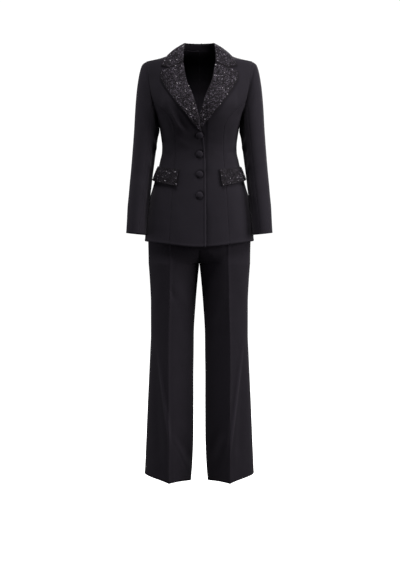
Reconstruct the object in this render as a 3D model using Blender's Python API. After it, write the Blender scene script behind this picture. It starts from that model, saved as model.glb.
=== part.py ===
"""A two-piece trouser suit, worn and hollow: a long fitted jacket with notched
lapels over full-length trousers with pressed creases. Lengths are in millimetres
and become metres as each mesh is made. The origin is level with the sides of the
neck. The front faces -Y, and the wearer's left is +X."""

import math
from collections import namedtuple

import bmesh
import bpy
from mathutils import Matrix, Vector

MM = 0.001

# Driving dimensions
JACKET_WALL = 1.6
LAPEL_WALL = 2.0
TROUSER_WALL = 1.2
SEAM = 0.3
ROUNDNESS = 2.3
SHOULDER_END = -46.0
UNDERARM = -262.0
JACKET_HEM = -659.0
HEM_DIP = 19.0
BUST = namedtuple("Bust", "x z reach_x reach_z rise")(82.0, -205.0, 48.0, 62.0, 11.0)
UNDERLAP = 2.2
SLEEVE_START = 0.06
LAPEL_ROLL = 2.4
LEFT_LAPEL_SHARE = 0.945
COLLAR_LIFT = 4.0
BUTTON_RADIUS = 12.2
BUTTON_HEIGHT = 6.0
BUTTON_X = 0.8
BUTTON_LEVELS = (-303.0, -366.0, -434.0, -502.0)
WAIST_TOP = -400.0
WAIST_BAND = 35.0
FORK = -735.0
FORK_START = -655.0
TROUSER_HEM = -1459.0
HEM_DROP_START = -1207.0
HEM_INNER_DROP = 28.0
HEM_OUTER_DROP = 2.0
HEM_CREASE_DROP = 9.0

# Turns round the armhole where rows of cloth meet it, from the underarm to the top
TURNS = (180, 160, 142, 125, 108, 90, 72, 54, 36, 18, 0)
SLEEVE_SEAM = 108
FRONT_PRINCESS_TURN = 108
BACK_PRINCESS_TURN = 90

# The jacket's form: half width, and depth in front of and behind the side line
Body = namedtuple("Body", "z width front back")
BODY = [Body(*row) for row in (
    (0, 64.5, 58, 62),
    (-10, 77, 62, 66),
    (-20, 93, 67, 71),
    (-27, 112, 70.5, 75),
    (-32, 124.5, 73, 78),
    (-36, 137, 75.5, 80.5),
    (-40, 154, 78, 83),
    (-43, 168, 79.5, 85),
    (-46, 182, 81, 87),
    (-60, 187, 88, 94),
    (-80, 187, 96, 102),
    (-107, 183, 106, 110),
    (-152, 177, 120, 116),
    (-197, 164, 129, 114),
    (-231, 148.5, 129, 109),
    (-262, 139, 123, 103),
    (-297, 132.5, 112, 95),
    (-338, 128, 101, 88),
    (-359, 129, 99, 88),
    (-380, 134, 99, 92),
    (-400, 138.5, 100, 97),
    (-421, 145.5, 102, 103),
    (-442, 151, 104, 109),
    (-462, 156, 106, 114),
    (-483, 162, 108, 119),
    (-503, 168.2, 109.7, 121.5),
    (-520, 171.5, 111.2, 124),
    (-540, 174.5, 113, 126.5),
    (-570, 179, 116, 130),
    (-610, 184.5, 120, 133.5),
    (-660, 187.5, 125, 138),
)]

# Seams and edges seen from the front: distance from the centre line at a height
Line = namedtuple("Line", "z x")
FRONT_EDGE = [Line(*row) for row in (
    (0, 64), (-15, 60), (-30, 58.5), (-56, 56), (-89, 50.6), (-124, 42.7), (-150, 31),
    (-179, 20), (-219, 9), (-249, 0.5), (-275, -5), (-284, -7), (-321, -16), (-382, -20),
    (-500, -22), (-675, -23),
)]
PRINCESS = [Line(*row) for row in (
    (-187.4, 156), (-200, 142), (-220, 119), (-245, 97), (-276, 84), (-340, 80), (-400, 84),
    (-470, 91), (-540, 95), (-671, 103),
)]
BACK_PRINCESS = [Line(*row) for row in (
    (-154, 164), (-170, 146), (-200, 117), (-240, 96), (-300, 80), (-338, 76), (-400, 82),
    (-480, 94), (-560, 104), (-671, 118),
)]
ARMHOLE = [Line(*row) for row in (
    (-46, 182), (-60, 177.5), (-80, 173.5), (-107, 171), (-152, 165.5), (-197, 155),
    (-231, 144), (-250, 140), (-262, 139),
)]

# Sleeve rings below the armhole: inner and outer ends seen from the front, the
# depth before and behind the ring's middle, and how far forward that middle lies
Sleeve = namedtuple("Sleeve", "inner_x inner_z outer_x outer_z front back middle")
SLEEVE = [Sleeve(*row) for row in (
    (140.6, -264, 190, -50.5, 48, 52, 0),
    (140.8, -268, 198, -60, 53, 58, 0),
    (140.4, -274, 206.5, -90, 58, 63, 0),
    (139.8, -283, 214.3, -140, 61, 66, 0),
    (141.2, -298, 220, -205, 62, 66, 0),
    (146.5, -335, 224.2, -280, 60, 63, -3),
    (153, -385, 229.2, -350, 57, 60, -8),
    (160, -440, 234.3, -415, 54, 57, -16),
    (164.6, -483, 239.2, -470, 52, 54, -26),
    (172.6, -540, 244, -532, 49, 51, -36),
    (178.6, -590, 247.2, -585, 47, 49, -44),
    (181.6, -638, 249.7, -631, 46, 48, -50),
)]

# Lapel stations from the gorge to the break: the roll line's and the edge's heights
Lapel = namedtuple("Lapel", "roll_z edge_x edge_z")
LAPEL = [Lapel(*row) for row in (
    (-58, 96, -78),
    (-74, 130.5, -87),
    (-92, 131, -104),
    (-116, 120, -131),
    (-144, 101, -161),
    (-172, 79.5, -191),
    (-200, 59, -217),
    (-228, 37, -243),
    (-251, 16.5, -268),
    (-270, -4, -290),
)]

# Collar stations from the front end to the centre back: the fold, and the edge
Collar = namedtuple("Collar", "fold_x fold_y fold_z edge_x edge_z crown")
COLLAR = [Collar(*row) for row in (
    (56, -86.5, -54.6, 129.5, -62, 0),
    (56.5, -73, -33, 120, -49, 4.2),
    (55.5, -52, -9, 111.5, -37, 6),
    (54, -28, 8, 104.5, -28.5, 4.5),
    (52.5, 0, 17.5, 98.5, -22, 3),
    (49.5, 17, 20, 88, -21, 3),
    (44, 32, 21, 77, -24, 3.5),
    (26, 52, 22, 45, -25, 4),
    (0, 58, 22, 0, -26, 4),
)]
NOTCH = namedtuple("Notch", "x z across")(96.5, -76.8, 0.56)

SIDE_STATION = 4
STAND_START = 2
STAND_LIFT = 1.2
NECK_FRONT = -15.0

Flap = namedtuple("Flap", "low_x high_x inner_low inner_high outer_low outer_high outer_angle stand corner")
FLAP = Flap(75, 67, -474, -417, -450, -404, 88, 1.5, 3.8)

# Covered button, as shares of its radius and height, from the top down to the back
BUTTON_PROFILE = ((0, 1), (0.45, 0.93), (0.8, 0.7), (1, 0.35), (0.97, 0.12), (0.6, 0), (0, 0))
BUTTON_SEAT = 0.84

# Trouser seat: half width and depths; below the fork each leg has its own rings
Seat = namedtuple("Seat", "z width front back")
SEAT = [Seat(*row) for row in (
    (-400, 131, 92, 90),
    (-421, 139, 95, 97),
    (-442, 146.5, 98, 104),
    (-462, 153.6, 100, 108),
    (-483, 160, 101.5, 111.5),
    (-520, 166.5, 103, 115),
    (-560, 168.5, 104, 118),
    (-655, 176.5, 105, 121),
    (-690, 176, 104, 119),
    (-735, 175.2, 101, 116),
)]
Leg = namedtuple("Leg", "z inner outer crease front back point")
LEG = [Leg(*row) for row in (
    (-735, 0, 175.2, 98, 94, 107, 0.06),
    (-793, 6, 171, 100, 93, 103, 0.14),
    (-876, 13, 167.5, 101, 92, 101, 0.2),
    (-980, 19, 167.5, 104, 91, 98, 0.24),
    (-1042, 19.5, 170, 105, 93, 98, 0.25),
    (-1125, 20.5, 174, 105, 96, 100, 0.26),
    (-1207, 20, 178.2, 104, 99, 102, 0.27),
    (-1311, 20.3, 182.8, 104, 102, 105, 0.28),
    (-1394, 23.5, 186.4, 104, 104, 107, 0.28),
    (-1459, 29, 189.5, 104, 106, 109, 0.28),
)]


def lerp(start, end, t):
    return start + (end - start) * t


def smooth(t):
    t = min(max(t, 0.0), 1.0)
    return t * t * (3 - 2 * t)


def table(rows, column, at, key="z"):
    """A column of a table at a height, on a smooth curve with no overshoot."""
    places = [getattr(row, key) for row in rows]
    values = [getattr(row, column) for row in rows]
    if places[0] > places[-1]:
        places.reverse()
        values.reverse()
    at = min(max(at, places[0]), places[-1])
    last = len(places) - 2
    i = min(max(sum(1 for place in places if place <= at) - 1, 0), last)
    steps = [(values[k + 1] - values[k]) / (places[k + 1] - places[k]) for k in range(last + 1)]

    def slope(k):
        if k == 0 or k == last + 1:
            return steps[min(k, last)]
        before, after = steps[k - 1], steps[k]
        return 2 * before * after / (before + after) if before * after > 0 else 0.0

    span = places[i + 1] - places[i]
    t = (at - places[i]) / span
    rise = values[i + 1] - values[i]
    start, end = slope(i) * span, slope(i + 1) * span
    return values[i] + t * (start + t * (3 * rise - 2 * start - end + t * (start + end - 2 * rise)))


def material(name, colour, roughness):
    made = bpy.data.materials.new(name)
    made.use_nodes = True
    shader = made.node_tree.nodes["Principled BSDF"]
    shader.inputs["Base Color"].default_value = (*colour, 1)
    shader.inputs["Roughness"].default_value = roughness
    return made


def finish(name, bm, surface):
    if bm.calc_volume(signed=True) < 0:
        bmesh.ops.reverse_faces(bm, faces=bm.faces)
    mesh = bpy.data.meshes.new(name)
    bm.to_mesh(mesh)
    bm.free()
    mesh.transform(Matrix.Scale(MM, 4))
    mesh.materials.append(surface)
    mesh.shade_smooth()
    mesh.set_sharp_from_angle(angle=math.radians(40))
    made = bpy.data.objects.new(name, mesh)
    bpy.context.collection.objects.link(made)
    return made


def cloth(name, place, columns, rows, wall, surface):
    """A wall of cloth. place(u, v, depth) gives a point of the piece, with u across
    it, v along it and depth measured inwards from its outer face."""
    bm = bmesh.new()
    bmesh.ops.create_grid(bm, x_segments=columns, y_segments=rows, size=0.5)
    made = bmesh.ops.extrude_face_region(bm, geom=bm.faces[:])
    for vert in [item for item in made["geom"] if isinstance(item, bmesh.types.BMVert)]:
        vert.co.z = wall
    bmesh.ops.recalc_face_normals(bm, faces=bm.faces)
    for vert in bm.verts:
        u, v, depth = vert.co
        vert.co = place(min(max(u + 0.5, 0), 1), min(max(v + 0.5, 0), 1), depth)
    return finish(name, bm, surface)


def bust(x, z):
    across = (abs(x) - BUST.x) / BUST.reach_x
    along = (z - BUST.z) / BUST.reach_z
    return BUST.rise * math.exp(-across * across - along * along)


def body(angle, z):
    """The jacket's form. The angle is 0 at the centre front and 90 at the left side."""
    a = math.radians(angle)
    depth = table(BODY, "front" if math.cos(a) > 0 else "back", z)
    width = table(BODY, "width", z)
    n = ROUNDNESS
    reach = (abs(math.sin(a) / width) ** n + abs(math.cos(a) / depth) ** n) ** (-1 / n)
    x, y = reach * math.sin(a), -reach * math.cos(a)
    if y < 0:
        y -= bust(x, z) * min(1.0, -y / 40)
    return Vector((x, y, z + dip(angle, z)))


def dip(angle, z):
    """The hem drops towards the centre front."""
    front = max(math.cos(math.radians(angle)), 0.0)
    return -HEM_DIP * front * front * smooth((-450 - z) / (-450 - JACKET_HEM))


def angle_at(x, z, back=False):
    """The angle where the form is x from the centre line."""
    width = table(BODY, "width", z)
    depth = table(BODY, "back" if back else "front", z)
    share = min(abs(x) / width, 1.0)
    y = depth * (1 - share ** ROUNDNESS) ** (1 / ROUNDNESS)
    turn = math.degrees(math.atan2(abs(x), y))
    turn = 180 - turn if back else turn
    return math.copysign(turn, x)


def skin(angle, z, out=0.0):
    """A point of the jacket's form, moved out along its normal."""
    step = 0.4
    along = body(angle + step, z) - body(angle - step, z)
    up = body(angle, min(z + 1, 0.0)) - body(angle, z - 1)
    normal = along.cross(up).normalized()
    return body(angle, z) + normal * out


def edge_x(z):
    return table(FRONT_EDGE, "x", z)


def armhole_x(z):
    return table(ARMHOLE, "x", z)


def seam_angle(seam, z, back=False, shift=0.0):
    return angle_at(table(seam, "x", z) + shift, z, back)


def side_angle(z, shift):
    """Just before or behind the side seam, or the shoulder seam above the armhole."""
    return 90 + math.degrees(shift / table(BODY, "width", z))


def levels(*stretches):
    """Heights for the rows of a piece: each stretch is (height, rows up to the next)."""
    heights = []
    for (start, count), (end, _) in zip(stretches, stretches[1:]):
        heights += [lerp(start, end, k / count) for k in range(count)]
    return heights + [stretches[-1][0]]


def between(steps, share):
    """The value at a share of the way through a list of steps."""
    at = share * (len(steps) - 1)
    k = min(int(at), len(steps) - 2)
    return lerp(steps[k], steps[k + 1], at - k)


def turn_height(turn):
    """The height of the armhole at a turn round it."""
    middle, half = (SHOULDER_END + UNDERARM) / 2, (SHOULDER_END - UNDERARM) / 2
    return middle + half * math.cos(math.radians(turn))


def body_heights(last_turn):
    """Rows shared by neighbouring panels, from the hem to a turn of the armhole."""
    below = levels((JACKET_HEM, 3), (-483, 5), (-300, 2), (UNDERARM, 0))
    return below + [turn_height(turn) for turn in TURNS[1:] if turn >= last_turn]


def panel(name, side, heights, inner, outer, columns, surface, out=lambda x, z: 0.0):
    """A jacket panel between two seams, which give their angle at a height."""

    def place(u, v, depth):
        z = between(heights, v)
        angle = lerp(inner(z), outer(z), u)
        x = body(angle, z).x
        point = skin(angle, z, out(x, z) - depth)
        return Vector((side * point.x, point.y, point.z))

    return cloth(name, place, columns, len(heights) - 1, JACKET_WALL, surface)


def outer_edge(seam, top_turn, back):
    """A centre panel's outer border: princess seam, armhole, then shoulder seam."""
    shift = SEAM / 2 if back else -SEAM / 2

    def angle(z):
        if z < turn_height(top_turn) + 0.01:
            return seam_angle(seam, z, back, -SEAM / 2)
        if z < SHOULDER_END - 0.01:
            return angle_at(armhole_x(z) - SEAM, z, back)
        return side_angle(z, shift)

    return angle


def side_outer(back):
    """A side panel's outer border: side seam, then armhole."""
    shift = SEAM / 2 if back else -SEAM / 2

    def angle(z):
        if z <= UNDERARM:
            return side_angle(z, shift)
        return angle_at(armhole_x(z) - SEAM, z, back)

    return angle


def under(x, z):
    """The left front passes under the right one round the centre line."""
    return -UNDERLAP * smooth((44 - x) / 18)


def jacket_body(surface):
    shoulder = levels((SHOULDER_END, 3), (-4, 0))[1:]
    fronts = body_heights(0) + shoulder
    backs = body_heights(0) + shoulder[:-1] + [-1]
    for side, hand in ((-1, "right"), (1, "left")):
        panel(f"jacket_front_{hand}", side, fronts, lambda z: angle_at(edge_x(z), z),
              outer_edge(PRINCESS, FRONT_PRINCESS_TURN, False), 6, surface,
              under if side > 0 else lambda x, z: 0.0)
        panel(f"jacket_side_front_{hand}", side, body_heights(FRONT_PRINCESS_TURN),
              lambda z: seam_angle(PRINCESS, z, shift=SEAM / 2), side_outer(False), 4, surface)
        panel(f"jacket_side_back_{hand}", side, body_heights(BACK_PRINCESS_TURN),
              lambda z: seam_angle(BACK_PRINCESS, z, True, SEAM / 2), side_outer(True), 4, surface)
        panel(f"jacket_back_{hand}", side, backs, outer_edge(BACK_PRINCESS, BACK_PRINCESS_TURN, True),
              lambda z: 180 - math.degrees(SEAM / 2 / table(BODY, "back", z)), 5, surface)


def armhole(phi):
    """The armhole's seam: 0 is its top, 90 its front and 180 the underarm."""
    z = turn_height(phi)
    angle = angle_at(armhole_x(z), z, math.sin(math.radians(phi)) < 0)
    return body(angle, z), angle, z


def sleeve_ring(k, phi):
    turn = math.radians(phi)
    if k <= 0:
        return armhole(phi)[0]
    ring = SLEEVE[min(k, len(SLEEVE)) - 1]
    reach = (1 + math.cos(turn)) / 2
    depth = ring.front if math.sin(turn) > 0 else ring.back
    return Vector((lerp(ring.inner_x, ring.outer_x, reach), ring.middle - depth * math.sin(turn),
                   lerp(ring.inner_z, ring.outer_z, reach)))


def sleeve_point(phi, at):
    """A point of the sleeve on a smooth curve through its rings."""
    k = min(int(at), len(SLEEVE) - 1)
    t = at - k
    before, start, end, after = (sleeve_ring(max(k + step, 0), phi) for step in (-1, 0, 1, 2))
    leave = (end - before) / 2 if k > 0 else end - start
    arrive = (after - start) / 2 if k + 1 < len(SLEEVE) else end - start
    rise = end - start
    return start + t * (leave + t * (3 * rise - 2 * leave - arrive + t * (leave + arrive - 2 * rise)))


def sleeve_normal(phi, at):
    low, high = max(at - 0.05, 0), min(at + 0.05, len(SLEEVE))
    around = sleeve_point(phi + 1, at) - sleeve_point(phi - 1, at)
    down = sleeve_point(phi, high) - sleeve_point(phi, low)
    normal = around.cross(down).normalized()
    if at < 1:
        _, angle, z = armhole(phi)
        seat = (skin(angle, z, 1) - body(angle, z)).normalized()
        normal = seat.lerp(normal, smooth(at)).normalized()
    return normal


def sleeves(surface):
    top = [-turn for turn in TURNS if turn <= SLEEVE_SEAM] + [
        turn for turn in reversed(TURNS) if 0 < turn <= SLEEVE_SEAM]
    under_arm = [turn for turn in reversed(TURNS) if turn >= SLEEVE_SEAM] + [
        360 - turn for turn in TURNS if SLEEVE_SEAM <= turn < 180]
    gap = math.degrees(SEAM / 2 / 55)
    for side, hand in ((-1, "right"), (1, "left")):
        for name, turns in (("sleeve_top", top), ("sleeve_under", under_arm)):

            def place(u, v, depth):
                phi = min(max(between(turns, u), turns[0] + gap), turns[-1] - gap)
                at = lerp(SLEEVE_START, len(SLEEVE), v)
                point = sleeve_point(phi, at) - sleeve_normal(phi, at) * depth
                return Vector((side * point.x, point.y, point.z))

            cloth(f"{name}_{hand}", place, len(turns) - 1, len(SLEEVE), JACKET_WALL, surface)


def front_point(x, z, out):
    return skin(angle_at(x, z), z, out)


def lapels(surface):
    last = len(LAPEL) - 1

    def station(v):
        at = v * last
        k = min(int(at), last - 1)
        return LAPEL[k], LAPEL[k + 1], at - k

    for side, name in ((-1, "lapel_right"), (1, "lapel_left")):

        def place(u, v, depth, side=side):
            start, end, t = station(v * LEFT_LAPEL_SHARE if side > 0 else v)
            roll_z = lerp(start.roll_z, end.roll_z, t)
            roll_x = edge_x(roll_z)
            x_out, z_out = lerp(start.edge_x, end.edge_x, t), lerp(start.edge_z, end.edge_z, t)
            if side > 0:
                roll_x = max(roll_x, 2.5 - roll_x)
                x_out = max(x_out, roll_x + 2)
            x, z = lerp(roll_x, x_out, u), lerp(roll_z, z_out, u)
            lift = LAPEL_WALL + 1.2 + LAPEL_ROLL * math.sin(math.pi * u)
            shift = under(x, z) if side > 0 else 0.0
            point = front_point(x, z, lift + shift - depth)
            return Vector((side * point.x, point.y, point.z))

        cloth(name, place, 4, last, LAPEL_WALL, surface)


def collar_edge(row, out):
    """A point of the collar's outer edge, lying on the shoulders and back."""
    back = row.fold_y > 0
    width = table(BODY, "width", row.edge_z)
    if row.edge_x >= width:
        return body(90, row.edge_z) + Vector((0.3, 0, 1)).normalized() * out
    return skin(angle_at(row.edge_x, row.edge_z, back), row.edge_z, out)


def clear_of_body(point, gap):
    """Moves a collar point off the shoulders and back where it is too near."""
    z = min(point.z, -0.5)
    width = table(BODY, "width", z)
    if abs(point.x) >= width or point.z > 0:
        return point
    back = point.y > 0
    angle = angle_at(point.x, z, back)
    least = skin(angle, z, gap).y
    y = max(point.y, least) if back else min(point.y, least)
    return Vector((point.x, y, point.z))


def collar_station(at):
    """The fold, the edge and the crown of the leaf at a station."""
    last = len(COLLAR) - 1
    k = min(int(at), last - 1)
    t = at - k
    start, end = COLLAR[k], COLLAR[k + 1]
    fold = Vector((start.fold_x, start.fold_y, start.fold_z)).lerp(
        Vector((end.fold_x, end.fold_y, end.fold_z)), t)
    edge = collar_edge(start, COLLAR_LIFT).lerp(collar_edge(end, COLLAR_LIFT), t)
    return fold, edge, lerp(start.crown, end.crown, t)


def collar_point(side, at, across):
    fold, edge, crown = collar_station(at)
    point = fold.lerp(edge, across)
    outward = Vector((point.x, point.y, 60)).normalized()
    point = point + outward * crown * math.sin(math.pi * across)
    if at < 1:
        notch = front_point(NOTCH.x, NOTCH.z, COLLAR_LIFT)
        flat = fold.lerp(edge, NOTCH.across)
        pull = (1 - at) * (1 - abs(across - NOTCH.across) / max(NOTCH.across, 1 - NOTCH.across))
        point = point + (notch - flat) * max(pull, 0)
    point = clear_of_body(point, LAPEL_WALL + lerp(3.3, 2.3, across))
    return Vector((side * point.x, point.y, point.z))


def collar(surface):
    last = len(COLLAR) - 1

    def place(u, v, depth):
        along = (u * 2 - 1) * last
        side, at = (1 if along > 0 else -1), last - abs(along)
        step = 0.02
        low, high = max(at - step, 0), min(at + step, last)
        across = collar_point(side, at, min(v + step, 1)) - collar_point(side, at, max(v - step, 0))
        round_neck = collar_point(side, high, v) - collar_point(side, low, v)
        if at == last:
            round_neck = Vector((-side, 0, 0))
        normal = across.cross(round_neck).normalized() * side
        if normal.z < 0:
            normal.negate()
        return collar_point(side, at, v) - normal * depth

    cloth("collar", place, 2 * last, 5, LAPEL_WALL, surface)


def neckline(at):
    """The jacket's neckline under the collar, at a collar station."""
    fold = collar_station(at)[0]
    if at < SIDE_STATION:
        z = lerp(NECK_FRONT, 0.0, smooth((at - STAND_START) / (SIDE_STATION - STAND_START)))
        return body(angle_at(edge_x(z), z), z)
    turn = 180 - math.degrees(math.atan2(fold.x, fold.y + 1))
    return body(turn, 0.0)


def collar_stand(surface):
    last = len(COLLAR) - 1

    def place(u, v, depth):
        along = (u * 2 - 1) * (last - STAND_START)
        side, at = (1 if along > 0 else -1), last - abs(along)
        fold = collar_station(at)[0]
        top = fold - Vector((0, 0, LAPEL_WALL + 1.8))
        point = (neckline(at) + Vector((0, 0, STAND_LIFT))).lerp(top, v)
        outward = Vector((point.x, point.y, 0)).normalized()
        point = point - outward * depth
        return Vector((side * point.x, point.y, point.z))

    cloth("collar_stand", place, 2 * (last - STAND_START), 1, JACKET_WALL, surface)


def pocket_flaps(surface):
    for side, hand in ((-1, "right"), (1, "left")):

        def place(u, v, depth):
            low = lerp(FLAP.inner_low, FLAP.outer_low, u)
            high = lerp(FLAP.inner_high, FLAP.outer_high, u)
            z = lerp(low, high, v)
            inner = angle_at(lerp(FLAP.low_x, FLAP.high_x, v), z)
            angle = lerp(inner, FLAP.outer_angle, u)
            stand = (1 - v) * (FLAP.stand + FLAP.corner * u * u)
            point = skin(angle, z, LAPEL_WALL + 1.2 + stand - depth)
            return Vector((side * point.x, point.y, point.z))

        cloth(f"pocket_flap_{hand}", place, 8, 3, LAPEL_WALL, surface)


def buttons(surface):
    """Covered buttons: turned domes, each seated on the right front."""
    steps = 16
    for number, z in enumerate(BUTTON_LEVELS, 1):
        bm = bmesh.new()
        outline = [bm.verts.new((BUTTON_RADIUS * reach, 0, BUTTON_HEIGHT * height))
                   for reach, height in BUTTON_PROFILE]
        edges = [bm.edges.new(pair) for pair in zip(outline, outline[1:])]
        bmesh.ops.spin(bm, geom=outline + edges, cent=(0, 0, 0), axis=(0, 0, 1), angle=math.tau,
                       steps=steps, use_merge=True)
        bmesh.ops.remove_doubles(bm, verts=bm.verts, dist=0.01)
        bmesh.ops.recalc_face_normals(bm, faces=bm.faces)
        angle = math.degrees(math.atan2(BUTTON_X, -body(0, z).y))
        outward = (skin(angle, z, 1) - body(angle, z)).normalized()
        turn = outward.to_track_quat("Z", "Y").to_matrix().to_4x4()
        bmesh.ops.transform(bm, matrix=Matrix.Translation(skin(angle, z, BUTTON_SEAT)) @ turn,
                            verts=bm.verts)
        finish(f"button_{number}", bm, surface)


def leg_column(column, z):
    return table(LEG, column, max(min(z, FORK), TROUSER_HEM))


def trouser_point(u, z, back):
    """A point of one trouser piece: u runs from the centre or inner seam to the side
    seam, with the crease half way, and z is the height at the side seam."""
    turn = math.pi / 2 * min(max((FORK_START - z) / (FORK_START - FORK), 0.0), 1.0)
    share = 1 - math.cos(turn)
    width = table(SEAT, "width", max(z, FORK))
    inner = lerp(0.0, leg_column("inner", z), share)
    outer = lerp(width, leg_column("outer", z), share)
    crease = leg_column("crease", z)
    cosine = -math.cos(math.pi * u)
    x = crease + cosine * ((crease - inner) if u < 0.5 else (outer - crease))
    column = "back" if back else "front"
    seat = table(SEAT, column, max(z, FORK)) * (
        1 - min(x / outer, 1.0) ** ROUNDNESS) ** (1 / ROUNDNESS)
    flat = abs(cosine)
    leg = leg_column(column, z) * math.sin(math.pi * u) * (
        1 - leg_column("point", z) * flat * (2 - flat))
    y = lerp(seat, leg, share)
    low = lerp(FORK_START, FORK, math.sin(turn)) if z > FORK and turn > 0 else z
    drop = smooth((HEM_DROP_START - z) / (HEM_DROP_START - TROUSER_HEM))
    hem = lerp(HEM_INNER_DROP, HEM_OUTER_DROP, u) + HEM_CREASE_DROP * (1 - flat) ** 2
    height = lerp(low, z, smooth(u * 1.6)) - hem * drop
    return Vector((x, y if back else -y, height))


def trouser_normal(u, z, back):
    across = trouser_point(min(u + 0.02, 1), z, back) - trouser_point(max(u - 0.02, 0), z, back)
    up = trouser_point(u, min(z + 1, WAIST_TOP), back) - trouser_point(u, z - 1, back)
    normal = across.cross(up).normalized()
    return -normal if back else normal


def trousers(surface):
    heights = levels((TROUSER_HEM, 3), (-1207, 3), (-980, 3), (-762, 1), (FORK, 4), (FORK_START, 2),
                     (-500, 1), (WAIST_TOP - WAIST_BAND - SEAM, 0))
    for side, hand in ((-1, "right"), (1, "left")):
        for back, face in ((False, "front"), (True, "back")):

            def place(u, v, depth):
                z = between(heights, v)
                point = trouser_point(u, z, back) - trouser_normal(u, z, back) * depth
                y = point.y + (SEAM / 2 if back else -SEAM / 2)
                return Vector((side * (point.x + SEAM / 2), y, point.z))

            cloth(f"trouser_{face}_{hand}", place, 8, len(heights) - 1, TROUSER_WALL, surface)


def waistband(surface):
    for side, hand in ((-1, "right"), (1, "left")):

        def place(u, v, depth):
            z = WAIST_TOP - WAIST_BAND * (1 - v)
            width = table(SEAT, "width", z)
            turn = math.radians(lerp(0, 180, u))
            long = table(SEAT, "front" if u < 0.5 else "back", z)
            reach = (abs(math.sin(turn) / width) ** ROUNDNESS
                     + abs(math.cos(turn) / long) ** ROUNDNESS) ** (-1 / ROUNDNESS)
            point = Vector((math.sin(turn), -math.cos(turn), 0)) * (reach - depth)
            return Vector((side * (point.x + SEAM / 2), point.y, z))

        cloth(f"waistband_{hand}", place, 14, 1, TROUSER_WALL, surface)


def main():
    for old in list(bpy.data.objects):
        bpy.data.objects.remove(old, do_unlink=True)
    crepe = material("black crepe", (0.016, 0.014, 0.017), 0.85)
    beaded = material("black beading", (0.01, 0.01, 0.011), 0.35)
    jacket_body(crepe)
    sleeves(crepe)
    lapels(beaded)
    collar(beaded)
    collar_stand(crepe)
    pocket_flaps(beaded)
    buttons(crepe)
    trousers(crepe)
    waistband(crepe)


main()
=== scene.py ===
# %% [markdown]
# # A trouser suit in black crepe
#
# This lesson dresses the solids of a worn two-piece suit: a long fitted jacket with
# beaded lapels, collar and pocket flaps, over full-length trousers with pressed
# creases. The solids are a fixed frame. Each one gets a finer shell of cloth on the
# same form, and the beading and the covered buttons are built on those shells.

# %% Load the frame
import math
from collections import namedtuple

import bmesh
import bpy
import numpy as np
from mathutils import Matrix, Vector


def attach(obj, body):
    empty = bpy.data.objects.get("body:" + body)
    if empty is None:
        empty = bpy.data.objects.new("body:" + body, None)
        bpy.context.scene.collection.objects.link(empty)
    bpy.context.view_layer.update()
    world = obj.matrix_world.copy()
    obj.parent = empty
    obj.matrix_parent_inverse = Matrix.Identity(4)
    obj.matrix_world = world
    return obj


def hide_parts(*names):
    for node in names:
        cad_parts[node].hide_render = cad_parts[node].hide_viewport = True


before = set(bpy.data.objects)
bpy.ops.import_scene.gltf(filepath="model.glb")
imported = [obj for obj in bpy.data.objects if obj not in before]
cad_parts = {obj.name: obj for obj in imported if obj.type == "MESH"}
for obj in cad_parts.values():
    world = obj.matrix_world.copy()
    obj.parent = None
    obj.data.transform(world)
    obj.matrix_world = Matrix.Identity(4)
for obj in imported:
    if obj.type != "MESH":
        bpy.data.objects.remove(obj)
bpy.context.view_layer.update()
MM = 0.001

# %% [markdown]
# ## The camera
#
# The suit is seen straight from the front, from five metres away, with the lens a
# little above the middle of the suit. The frame is tall, so the lens is worked out
# from how much height has to fit in at the distance of the suit.

# %% Camera
VIEW_X = 0.0022
EYE = Vector((VIEW_X, -5.0, -0.60))
AIM = Vector((VIEW_X, 0.0, -0.811))
HEIGHT_IN_VIEW = 1.9665

lens = bpy.data.cameras.new("camera")
lens.lens = lens.sensor_width * (AIM - EYE).length / HEIGHT_IN_VIEW
camera = bpy.data.objects.new("camera", lens)
camera.location = EYE
camera.rotation_mode = "QUATERNION"
camera.rotation_quaternion = (AIM - EYE).to_track_quat("-Z", "Y")
bpy.context.collection.objects.link(camera)
bpy.context.scene.camera = camera
print("camera: lens", round(lens.lens, 1), "mm")

# %% [markdown]
# ## The cut of the suit
#
# A tailor's block is a table of widths and depths at named heights, and so is this
# one. Lengths are in millimetres from the point between the sides of the neck. They
# repeat the sizes of the solids, so that each shell lies on its own solid.

# %% Measures of the jacket
def table(kind, *rows):
    return [kind(*row) for row in rows]


# The wearer's right side is where x is below zero.
HANDS = ((-1, "right"), (1, "left"))
ROUNDNESS = 2.3
SHOULDER_END = -46.0
UNDERARM = -262.0
JACKET_HEM = -659.0
HEM_DIP = 19.0
HEM_DIP_START = -450.0
JACKET_WALL = 1.6
BEADED_WALL = 2.0
TROUSER_WALL = 1.2
# The gap at a seam. It is below zero, so shells overlap and no light comes through.
SEAM = -0.12
BUST = namedtuple("Bust", "x z reach_x reach_z rise")(82.0, -205.0, 48.0, 62.0, 11.0)

Body = namedtuple("Body", "z width front back")
BODY = table(Body,
    (0, 64.5, 58, 62), (-10, 77, 62, 66), (-20, 93, 67, 71), (-27, 112, 70.5, 75),
    (-32, 124.5, 73, 78), (-36, 137, 75.5, 80.5), (-40, 154, 78, 83), (-43, 168, 79.5, 85),
    (-46, 182, 81, 87), (-60, 187, 88, 94), (-80, 187, 96, 102),
    (-107, 183, 106, 110), (-152, 177, 120, 116), (-197, 164, 129, 114),
    (-231, 148.5, 129, 109), (-262, 139, 123, 103), (-297, 132.5, 112, 95),
    (-338, 128, 101, 88), (-359, 129, 99, 88), (-380, 134, 99, 92), (-400, 138.5, 100, 97),
    (-421, 145.5, 102, 103), (-442, 151, 104, 109), (-462, 156, 106, 114),
    (-483, 162, 108, 119), (-503, 168.2, 109.7, 121.5), (-520, 171.5, 111.2, 124),
    (-540, 174.5, 113, 126.5), (-570, 179, 116, 130), (-610, 184.5, 120, 133.5),
    (-660, 187.5, 125, 138),
)
print("jacket:", len(BODY), "levels, with the hem at", JACKET_HEM, "mm")

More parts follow.
